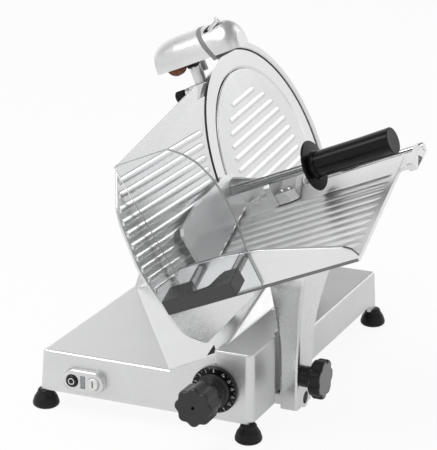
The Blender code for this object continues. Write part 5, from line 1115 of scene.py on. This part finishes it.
def carriage_plate():
    right = TRAY_LENGTH
    low, top = TRAY_BOTTOM, TRAY_BOTTOM + TRAY_THICKNESS
    corners = [(TRAY_GAP, 0.0), (right - 0.003, 0.0), (right + 0.001, TRAY_WIDTH), (TRAY_GAP, TRAY_WIDTH)]
    plate = slab(rounded(corners, [0, 0, 0.01, 0.004], 8), tray, low, top, 0.0007, 3, 50)
    fence = [(TRAY_GAP, low), (0.2255, low), (0.2262, 0.008), (0.2225, 0.016), (0.214, FRONT_PLATE_LOW),
             (0.116, 0.0488), (0.1, 0.0512), (0.067, FRONT_PLATE_HEIGHT), (TRAY_GAP, FRONT_PLATE_HEIGHT)]
    fence = rounded(fence, [0, 0, 0.004, 0.008, 0.01, 0.03, 0.03, 0.03, 0.01], 8)
    upright = slab(fence, tray_side, 0.0, 0.0052, 0.0006, 3, 50)
    # Painted shade: two near-black beads, along the foot and along the rounded top of the front plate, stand in for
    # its shadow lines.
    low_shadow_line = bead([tray(TRAY_GAP + 0.002, 0.0022, low + 0.0024), tray(0.224, 0.0022, low + 0.0024)], 0.003, 16)
    top_shadow_line = bead([tray(a - 0.0002, 0.0024, b - 0.0006) for a, b in fence[2:-1]], 0.0013)
    piece("tray_front_painted_shadow_lines", together(low_shadow_line, top_shadow_line), "painted_shadow_edge", "carriage", crease=60)
    ribs = []
    for i in range(TRAY_RIB_COUNT):
        s = 0.009 + TRAY_RIB_PITCH * (i + 0.5)
        ribs.append(ridge(tray(TRAY_GAP + 0.004, s, top), tray(right - 0.006, s, top), TRAY_H,
                          TRAY_RIB_PITCH * 0.86, TRAY_RIB_HEIGHT, 0.4, 1.4, 0.0003, 2.8, 15))
    ears = []
    for d0, d1, s0 in ((EAR_LEFT, EAR_LEFT + 0.0085, 0.218), (0.2395, 0.25, 0.195)):
        outline = rounded([(s0, low - 0.004), (0.247, low - 0.006), (0.2475, ROD_H + 0.006), (0.233, ROD_H + 0.006),
                           (0.229, top + 0.0014), (s0, top + 0.0014)], [0.003, 0.006, 0.006, 0.004, 0.002, 0.002],
                          6)
        ears.append(slab(outline, tray_end, d0, d1, 0.0006, 2, 60))
    pocket = rounded([(0.199, -0.003), (0.224, -0.0042), (0.216, 0.0046)], 0.0008, 4)
    notch = [(0.2345, 0.01), (0.2345, 0.004)] + arc((0.237, 0.004), 0.0025, 180, 360, 12) + [(0.2395, 0.01)]
    ends = [prism(shape, tray_end, low_d, 0.26) for shape, low_d in ((pocket, 0.244), (notch, 0.2462))]
    web = [(right - 0.006, 0.195), (0.241, 0.195), (0.241, 0.23), (right - 0.006, 0.23)]
    cuts = [*ends, rod(ROD_RADIUS + SEAT, ROD_LINE, AXIS, 0.0, 0.3)]
    cuts += [rod(0.003, tray(d, 0, STANDOFF_H), TRAY_S, -0.01, 0.02) for d in STANDOFFS]
    body = carve(plate, (upright, *ears, prism(web, tray, low + 0.0002, top - 0.0003)), cuts)
    piece("carriage_plate", together(body, *ribs), "tray", "carriage", "carriage_tray", crease=35)


def guard():
    outline = [(TRAY_GAP + 0.0012, 0.205), (TRAY_GAP, 0.004), (0.1, 0.004), (0.102, 0.041), (0.111, 0.088),
               (0.114, 0.123), (0.112, 0.153), (0.105, 0.176), (0.094, 0.192), (0.079, 0.205)]
    shape = rounded(outline, [0.003, 0.002, 0.004, 0.03, 0.05, 0.05, 0.04, 0.03, 0.02, 0.016], 8)
    sheet = slab(shape, lambda a, b, c: tray(a, -c, b), SEAT, SEAT + GUARD_SHEET, 0.0005, 2, 50)
    sheet = carve(sheet, cuts=[rod(0.0034, tray(d, 0, STANDOFF_H), TRAY_S, -0.02, 0.02) for d in STANDOFFS])
    made = piece("clear_hand_guard", sheet, "clear", "carriage", "hand_guard", crease=30)
    # Painted sheen: the sheet's edge faces take an opaque pale grey in place of the clear acrylic.
    made.data.materials.append(FINISH["painted_edge_sheen"])
    for face in made.data.polygons:
        outward = Vector(face.normal)
        if abs(outward.dot(TRAY_S)) < 0.3 and outward.dot(AXIS) > -0.6:
            face.material_index = 1


def handle():
    low, high = 0.0386, 0.0575
    outline = [(0.0146, 0.076), (0.1077, 0.076), (0.1077, 0.043), (0.089, 0.043), (0.084, 0.05), (0.076, 0.068),
               (0.06, 0.069), (0.056, 0.068), (0.05, 0.05), (0.0455, 0.043), (0.0146, 0.043)]
    shape = rounded(outline, [0.002, 0.002, 0.002, 0.002, 0.004, 0.006, 0.004, 0.006, 0.004, 0.002, 0.002], 5)
    grip = slab(shape, lambda a, b, c: tray(a, -b, c), low, high, 0.0014, 4, 50)
    piece("carriage_push_handle", grip, "handle", "carriage", "carriage_handle")
    start = SEAT * 2 + GUARD_SHEET
    for name, d in zip(("left", "right"), STANDOFFS):
        profile = [(0, -0.043 + SEAT), (0.006, -0.043 + SEAT), (0.006, -start), (0.0024, -start),
                   (0.0024, 0.0052 + SEAT), (0.005, 0.0052 + SEAT), (0.0044, 0.0078), (0, 0.0082)]
        piece("handle_post_" + name, turned(profile, tray(d, 0, STANDOFF_H), TRAY_S, 64, ease=0.0004), "shaft",
              "carriage", "handle_standoff_" + name)


def lock_knob():

    def place(a, b, x):
        return at(x, LOCK_Y + a, LOCK_Z + b)

    outline = lobed(0.025, 0.0034, 7, 224, 2.4)
    star = stacked(outline, place,
                   ((0.3215, 0.82), (0.3225, 0.9), (0.3238, 0.96), (0.3256, 1.0), (0.335, 1.0), (0.3365, 0.985),
                    (0.3374, 0.95), (0.3376, 0.9)))
    hub = raised(LOCK_START, [(0, 0), (0.0132, 0), (0.0132, 0.009), (0.011, 0.015), (0, 0.015)])
    hub = turned(hub, place(0, 0, 0), RIGHT, 64, ease=0.0006)
    piece("arm_lock_knob", together(star, hub), "black", "lock_knob", "carriage_lock_knob")
    cap = stacked(outline, place, ((0.337, 0.87), (0.3377, 0.87), (0.3378, 0.85)))
    piece("arm_lock_knob_cap", cap, "face_grey", "lock_knob")


# Pusher

def pusher():
    bar = turned([(0, EAR_LEFT - 0.001), (ROD_RADIUS, EAR_LEFT - 0.001), (ROD_RADIUS, 0.2512), (0, 0.2512)],
                 ROD_LINE, AXIS, 64, ease=0.0008)
    piece("pusher_rail", bar, "steel", "carriage", "pusher_guide_rod")
    sleeve = ROD_RADIUS + 0.002 + SEAT
    front_s = SHAFT_S - 0.0095
    top = BLOCK_TOP_H
    plan = rounded([(BLOCK_LOW + 0.002, front_s + 0.002), (BLOCK_HIGH - 0.004, front_s + 0.002),
                    (BLOCK_HIGH + 0.008, front_s + 0.006), (BLOCK_HIGH - 0.0003, ROD_S - 0.0105),
                    (BLOCK_HIGH - 0.0003, ROD_S + 0.0068), (BLOCK_LOW + 0.001, ROD_S + 0.0068)],
                   [0.001, 0.002, 0.002, 0.001, 0.002, 0.001], 5)
    body = slab(plan, tray, TRAY_BOTTOM + TRAY_THICKNESS + 0.0012, top, 0.001, 3, 50)
    leg = rounded([(front_s, 0.0066), (front_s, SHAFT_H - 0.0065), (SHAFT_S - 0.003, SHAFT_H - 0.0022),
                   (SHAFT_S + 0.0095, SHAFT_H + 0.003), (SHAFT_S + 0.015, SHAFT_H - 0.008),
                   (ROD_S - 0.0095, top - 0.001), (ROD_S - 0.0095, 0.0066)],
                  [0.001, 0.001, 0, 0.003, 0.006, 0.006, 0.001], 6)
    around = rounded([(ROD_S - 0.0078, -0.0055), (ROD_S + 0.0078, -0.0055), (ROD_S + 0.0078, top - 0.0006),
                      (ROD_S - 0.0078, top - 0.0006)], [0.004, 0.004, 0.003, 0.001], 8)
    leg = slab(leg, tray_end, BLOCK_LOW, BLOCK_LOW + 0.0085, 0.0006, 2, 50)
    around = slab(around, tray_end, BLOCK_LOW + 0.0004, BLOCK_HIGH - 0.0004, 0.0006, 2, 50)
    body = carve(body, (leg, around),
                 (rod(sleeve, ROD_LINE, AXIS, BLOCK_LOW - 0.01, BLOCK_HIGH + 0.01),
                  rod(SHAFT_RADIUS + SEAT, SHAFT_LINE, AXIS, BLOCK_LOW - 0.01, BLOCK_HIGH + 0.01)))
    piece("pusher_block", body, "rough_cast", "pusher", "pusher_arm")
    lower = TRAY_BOTTOM + TRAY_THICKNESS + TRAY_RIB_HEIGHT + 0.0016
    outline = [(0.05, lower + 0.004), (0.05, 0.072), (0.056, 0.078), (0.108, 0.078), (0.116, 0.076), (0.208, 0.06),
               (0.224, 0.05), (0.225, 0.011)]
    teeth = [(0.223 - (0.223 - 0.054) * i / PUSHER_TEETH, lower + (0.0 if i % 2 else 0.0034))
             for i in range(PUSHER_TEETH + 1)]
    shape = rounded(outline + teeth, [0, 0.003, 0.003, 0.004, 0.004, 0.012, 0.01, 0.002] + [0.0003] * len(teeth), 5)
    plate = slab(shape, tray_end, PUSHER_D, PUSHER_D + PUSHER_PLATE, 0.0005, 2, 50)
    web = rounded([(PUSHER_D + 0.001, lower + 0.003), (PUSHER_D + 0.01, lower + 0.003),
                   (BLOCK_LOW - 0.0008, BLOCK_TOP_H), (BLOCK_LOW - 0.0008, BLOCK_TOP_H + 0.013),
                   (PUSHER_D + 0.001, 0.052)], [0, 0.006, 0.003, 0.003, 0], 6)
    web = slab(web, tray_side, ROD_S - 0.0265, ROD_S - 0.0235, 0.0004, 2, 50)
    plate = carve(plate, [web], [rod(SHAFT_RADIUS * 0.7 + SEAT, SHAFT_LINE, AXIS, PUSHER_D - 0.01, 0.03)])
    piece("food_pusher_plate", plate, "pusher", "pusher", "pusher_plate")
    thin, thick, rest = SHAFT_RADIUS * 0.7, SHAFT_RADIUS, PUSHER_D + PUSHER_PLATE + SEAT
    profile = [(0, PUSHER_D + 0.0006), (thin, PUSHER_D + 0.0006), (thin, rest), (thick, rest)]
    profile += raised(GRIP_START, [(thick, -0.006), (thick * 0.8, -0.006), (thick * 0.8, 0.05), (0, 0.05)])
    piece("pusher_stem", turned(profile, SHAFT_LINE, AXIS, 64, ease=0.0003), "shaft", "pusher", "pusher_shaft")
    r, bore = GRIP_RADIUS, SHAFT_RADIUS * 0.8 + SEAT
    profile = raised(GRIP_START,
                     [(0, 0.052), (bore, 0.051), (bore, -0.0055), (0.014, -0.0055), (GRIP_FLANGE - 0.0016, -0.0026),
                      (GRIP_FLANGE, -0.001), (GRIP_FLANGE - 0.0012, 0.0006), (r + 0.002, 0.0018), (r, 0.0042),
                      (r, 0.07)])
    profile += raised(GRIP_START + GRIP_LENGTH, [(r + 0.0008, -0.0008), (r + 0.0001, 0), (0, -0.0004)])
    eased = rounded(profile, [0, 0, 0, 0.001, 0.001, 0.001, 0.001, 0.002, 0.002, 0.02, 0.0004, 0.0004, 0], 8)
    piece("pusher_hand_grip", turned(eased, SHAFT_LINE, AXIS, 96), "gloss_black", "pusher", "pusher_grip")
    low = BLOCK_TOP_H + SEAT
    for name, d in (("left", BLOCK_LOW + 0.018), ("right", BLOCK_HIGH - 0.001)):
        spot = tray(d, SHAFT_S, 0)
        cap = raised(low, [(0, 0), (0.0036, 0), (0.0036, 0.0034), (0, 0.0034)])
        cap = turned(cap, spot, TRAY_H, 48, ease=0.0005)
        socket = prism(arc((0, 0), 0.0018, 15, 375, 6)[:6],
                       lambda p, q, c: spot + TRAY_H * c + AXIS * p + TRAY_S * q, low + 0.0019, low + 0.008)
        piece("block_cap_screw_" + name, carve(cap, cuts=[socket]), "chrome", "pusher", "pusher_screw_" + name)


# Sharpener

def loaf(half, low, high):
    steps = 36
    shoulder = low + (high - low) * 0.2
    points = [(SHARPENER_Y - half, low), (SHARPENER_Y + half, low), (SHARPENER_Y + half, shoulder)]
    for i in range(1, steps):
        t = pi * i / steps
        points.append((SHARPENER_Y + half * cos(t), shoulder + (high - shoulder) * sin(t)))
    points.append((SHARPENER_Y - half, shoulder))
    return points


def at_seam(y, u, d):
    return slope(d + (SEAM_MIDDLE - u) * SEAM_LEAN, y, u)


def cover_half(low_d, high_d, round_low):
    low, tall = SHELL_LOW, SHARPENER_TOP - SHELL_LOW
    start, stop = (low_d, high_d) if round_low else (high_d, low_d)
    step = 1 if stop > start else -1
    if round_low:
        reaches, shares = (0.0, 0.004, 0.011, 0.022, 0.036), (0.74, 0.84, 0.92, 0.975, 1.0)
        walls = (0.74, 0.83, 0.89, 0.91)
    else:
        reaches, shares = (0.0, 0.0035, 0.0095, 0.018, 0.028), (0.5, 0.74, 0.9, 0.98, 1.0)
        walls = (0.62, 0.8, 0.88, 0.91)
    table = smooth_rows(list(zip(reaches, shares)), 28)
    tip = shares[0] - 0.04
    outer = [[slope(start, y, u) for y, u in loaf(SHARPENER_HALF * tip, low, low + tall * tip)]]
    for reach, k in table:
        outer.append([slope(start + step * (reach + 0.0006), y, u)
                      for y, u in loaf(SHARPENER_HALF * k, low, low + tall * k)])
    outer.append([at_seam(y, u, stop) for y, u in loaf(SHARPENER_HALF, low, SHARPENER_TOP)])
    inner = []
    for reach, k in zip(reaches[1:], walls):
        inner.append([slope(start + step * (reach - 0.0008), y, u)
                      for y, u in loaf(SHARPENER_HALF * k, low - 0.01, low + tall * k)])
    for extra in (0.0003, 0.01):
        inner.append([at_seam(y, u, stop + step * extra)
                      for y, u in loaf(SHARPENER_HALF * 0.92, low - 0.01, low + tall * 0.93)])
    return (mesh_of(outer), mesh_of(inner))


def sharpener():
    outer, inner = cover_half(0.18, 0.2569, True)
    arc_cut = rod(BLADE_RADIUS + 0.0035, SPINDLE_LINE, AXIS, 0.24, 0.26, 256)
    piece("sharpener_shell_left", carve(outer, cuts=[inner, arc_cut]), "cast", "sharpener", "sharpener_cover_left",
          crease=40)
    outer, inner = cover_half(0.2637, 0.301, False)
    button_base = slope(0.272, SHARPENER_Y - 0.011, SHARPENER_TOP - 0.0055)
    bore = rod(0.0066, button_base, BUTTON_AXIS, -0.012, 0.03, 48)
    piece("sharpener_shell_right", carve(outer, cuts=[inner, bore]), "cast", "sharpener", "sharpener_cover_right",
          crease=40)
    outline = loaf(SHARPENER_HALF + 0.0006, SHARPENER_LOW - 0.001, SHARPENER_TOP + 0.0006)
    plate = slab(outline, at_seam, 0.2572, 0.2634, 0.0006, 3, 50)
    y = SHARPENER_Y
    lug = slab([(0.266, SHARPENER_LOW + 0.007), (0.289, SHARPENER_LOW + 0.007), (0.289, SHARPENER_LOW + 0.023),
                (0.26, SHARPENER_LOW + 0.023)], slope_side, y - 0.01, y + 0.008, 0.0008, 2)
    piece("sharpener_seam_plate", together(plate, lug), "seam", "sharpener", "sharpener_frame")
    low = SHARPENER_LOW
    profile = raised(low, [(0, -0.051), (POST_RADIUS, -0.051), (POST_RADIUS, 0.01), (0, 0.01)])
    piece("sharpener_stem", turned(profile, POST_LINE, RISE, 64, ease=0.001), "cast", "sharpener", "sharpener_post",
          slot="steel")
    outline = [(0.212, low + 0.002), (0.237, low + 0.002), (0.237, low + 0.015), (0.254, low + 0.015),
               (0.254, low + 0.027), (0.198, low + 0.027), (0.198, low + 0.004), (0.212, low + 0.004)]
    body = slab(outline, slope_side, y - 0.011, y + 0.012, 0.0008, 2)
    body = carve(body, cuts=[rod(POST_RADIUS + SEAT, slope(POST_D, y, 0), RISE, low - 0.02, low + 0.0103)])
    piece("sharpener_carrier", body, "gloss_black", "sharpener", "sharpener_bracket")
    pad = slab(rectangle((0.216, 0.235), (low - 0.012, low + 0.006)), slope_side, y + 0.009, y + 0.0118, 0.0006, 2)
    piece("sharpener_guide_plate", pad, "cast", "sharpener")
    profile = raised(y, [(0, -0.0185), (0.0032, -0.0185), (0.0032, -0.012), (0.0018, -0.012), (0.0018, -0.006),
                         (0, -0.006)])
    heads = [turned(profile, slope(d, 0, low + 0.0012), BACK, 32, ease=0.0004) for d in (0.2255, 0.2335)]
    piece("sharpener_adjusters", together(*heads), "gloss_black", "sharpener")
    for name, d, u, radius, start in (("grinding_stone", 0.208, low + 0.0085, 0.014, y - 0.0223),
                                      ("honing_stone", 0.2835, low + 0.015, 0.0085, y - 0.0213)):
        profile = raised(start, [(0, 0), (radius * 0.35, 0), (radius * 0.35, 0.0012), (radius - 0.0008, 0.0012),
                                 (radius, 0.002), (radius, 0.0086), (radius - 0.0008, 0.0094), (0.003, 0.0094),
                                 (0.003, 0.011), (0, 0.011)])
        piece(name + "_wheel", turned(profile, slope(d, 0, u), BACK, 72, ease=0.0003), "stone", name, name)
    profile = [(0, -0.005), (0.004, -0.005), (0.004, 0.011), (0.0058, 0.0112), (0.006, 0.012), (0.006, 0.0138),
               (0.0052, 0.0146), (0, 0.0146)]
    piece("sharpener_push_cap", turned(profile, button_base, BUTTON_AXIS, 64, ease=0.0005), "chrome",
          "sharpener_button", "sharpener_button")
    face = POST_D - SOCKET_SIDE - SEAT
    star = stacked(lobed(0.0078, 0.0006, 26, 208, 1.0),
                   lambda a, b, c: slope(face - c, SHARPENER_Y + a, KNOB_U + b),
                   ((0.0165, 0.8), (0.016, 0.92), (0.0152, 1.0), (0.004, 1.0), (0.0032, 0.93), (0.003, 0.86)))
    knob = together(star, rod(0.0058, CLAMP_LINE, AXIS, face - 0.004, face, 48, 0.0004),
                    rod(0.003, CLAMP_LINE, AXIS, face - 0.002, POST_D - POST_RADIUS - RUN - SEAT))
    piece("sharpener_clamp_knob", knob, "gloss_black", "sharpener_knob", "sharpener_lock_knob")


def carried_over():
    """Hidden pieces keep their solid and take a full finish."""
    table = {"spindle_bearing_outer": "steel", "spindle_bearing_inner": "steel", "motor": "zinc",
             "drive_belt": "rubber", "gauge_guide_rod": "steel", "gauge_rod_bracket": "rough_cast",
             "control_board": "green", "carriage_guide_rod": "steel", "carriage_rod_bracket": "zinc",
             "support_rail": "steel", "blade_pulley": "zinc", "blade_spindle": "steel", "motor_pulley": "zinc",
             "dial_cam": "zinc", "carriage_slider": "rough_cast", "pusher_bushing": "white"}
    for name, finish in table.items():
        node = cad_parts[name]
        for holder in node.material_slots:
            holder.material = FINISH[finish]


# Stage

def seen_directly(n):
    """1 for the rays that come from the camera, through clear plastic too; and 1 for the mirrored ones."""
    path = n.add("ShaderNodeLightPath")
    return (n.maths("MAXIMUM", path.outputs["Is Camera Ray"], path.outputs["Is Transmission Ray"]),
            path.outputs["Is Glossy Ray"])


def floor():
    n = Nodes("studio_floor")
    n.tree.nodes.remove(n.shader)
    output = [x for x in n.tree.nodes if x.type == "OUTPUT_MATERIAL"][0]
    soft = n.add("ShaderNodeBsdfDiffuse", {"Color": (0.82, 0.82, 0.82, 1)})
    lit = n.add("ShaderNodeEmission", {"Color": (1, 1, 1, 1), "Strength": 1.0})
    seen, mirrored = seen_directly(n)
    share = n.maths("ADD", n.maths("MULTIPLY", seen, FLOOR_SEEN), n.maths("MULTIPLY", mirrored, FLOOR_MIRRORED))
    mix = n.add("ShaderNodeMixShader", {0: share, 1: soft.outputs[0], 2: lit.outputs[0]})
    n.feed(output.inputs["Surface"], mix.outputs[0])
    bm = bmesh.new()
    side = (-FLOOR_HALF, FLOOR_HALF)
    bm.faces.new([bm.verts.new((x, y, 0)) for x, y in rectangle(side, side)])
    mesh = bpy.data.meshes.new("floor")
    bm.to_mesh(mesh)
    bm.free()
    mesh.materials.append(n.owner)
    ground = bpy.data.objects.new("floor", mesh)
    bpy.context.scene.collection.objects.link(ground)


def sky():
    world = bpy.data.worlds.new("studio")
    bpy.context.scene.world = world
    n = Nodes("studio", world)
    direction = n.add("ShaderNodeTexCoord").outputs["Generated"]
    height = n.add("ShaderNodeSeparateXYZ", {0: direction}).outputs["Z"]
    dimmer = n.spread(height, 1.0, SKY_TOP, HORIZON, SKY_TOP_FROM)
    seen, mirrored = seen_directly(n)
    level = n.add("ShaderNodeMix", {"Factor": mirrored, "A": SKY_FILL, "B": dimmer}).outputs[0]
    level = n.add("ShaderNodeMix", {"Factor": seen, "A": level, "B": 1.0}).outputs[0]
    n.feed(n.tree.nodes["Background"].inputs["Color"], (1, 1, 1, 1))
    n.feed(n.tree.nodes["Background"].inputs["Strength"], level)


def aimed(name, data, place, direction):
    obj = bpy.data.objects.new(name, data)
    obj.location = place
    obj.rotation_mode = "QUATERNION"
    obj.rotation_quaternion = direction.to_track_quat("-Z", "Y")
    bpy.context.scene.collection.objects.link(obj)
    return obj


def lamps():
    for name, (place, aim, width, height, watts) in LAMPS.items():
        light = bpy.data.lights.new(name, "AREA")
        light.shape = "RECTANGLE"
        light.size = width
        light.size_y = height
        light.energy = watts
        aimed(name, light, place, Vector(aim) - Vector(place))


def camera():
    data = bpy.data.cameras.new("camera")
    data.sensor_width = SENSOR
    data.sensor_fit = "AUTO"
    data.lens = FOCAL_PIXELS * SENSOR / FRAME_PIXELS
    data.clip_start = 0.05
    data.clip_end = 50
    look = -at(sin(CAMERA_YAW) * cos(CAMERA_PITCH), -cos(CAMERA_YAW) * cos(CAMERA_PITCH), sin(CAMERA_PITCH))
    bpy.context.scene.camera = aimed("camera", data, Vector(CAMERA_PLACE) - SHIFT, look)


for make in (base, under_cover, feet, housing, blade_and_cover, cover_knob, deflector, gauge, dial, switch, gland,
             arm, carriage_plate, guard, handle, lock_knob, pusher, sharpener, carried_over, floor, sky, lamps,
             camera):
    make()
bpy.context.scene.view_settings.view_transform = "Standard"
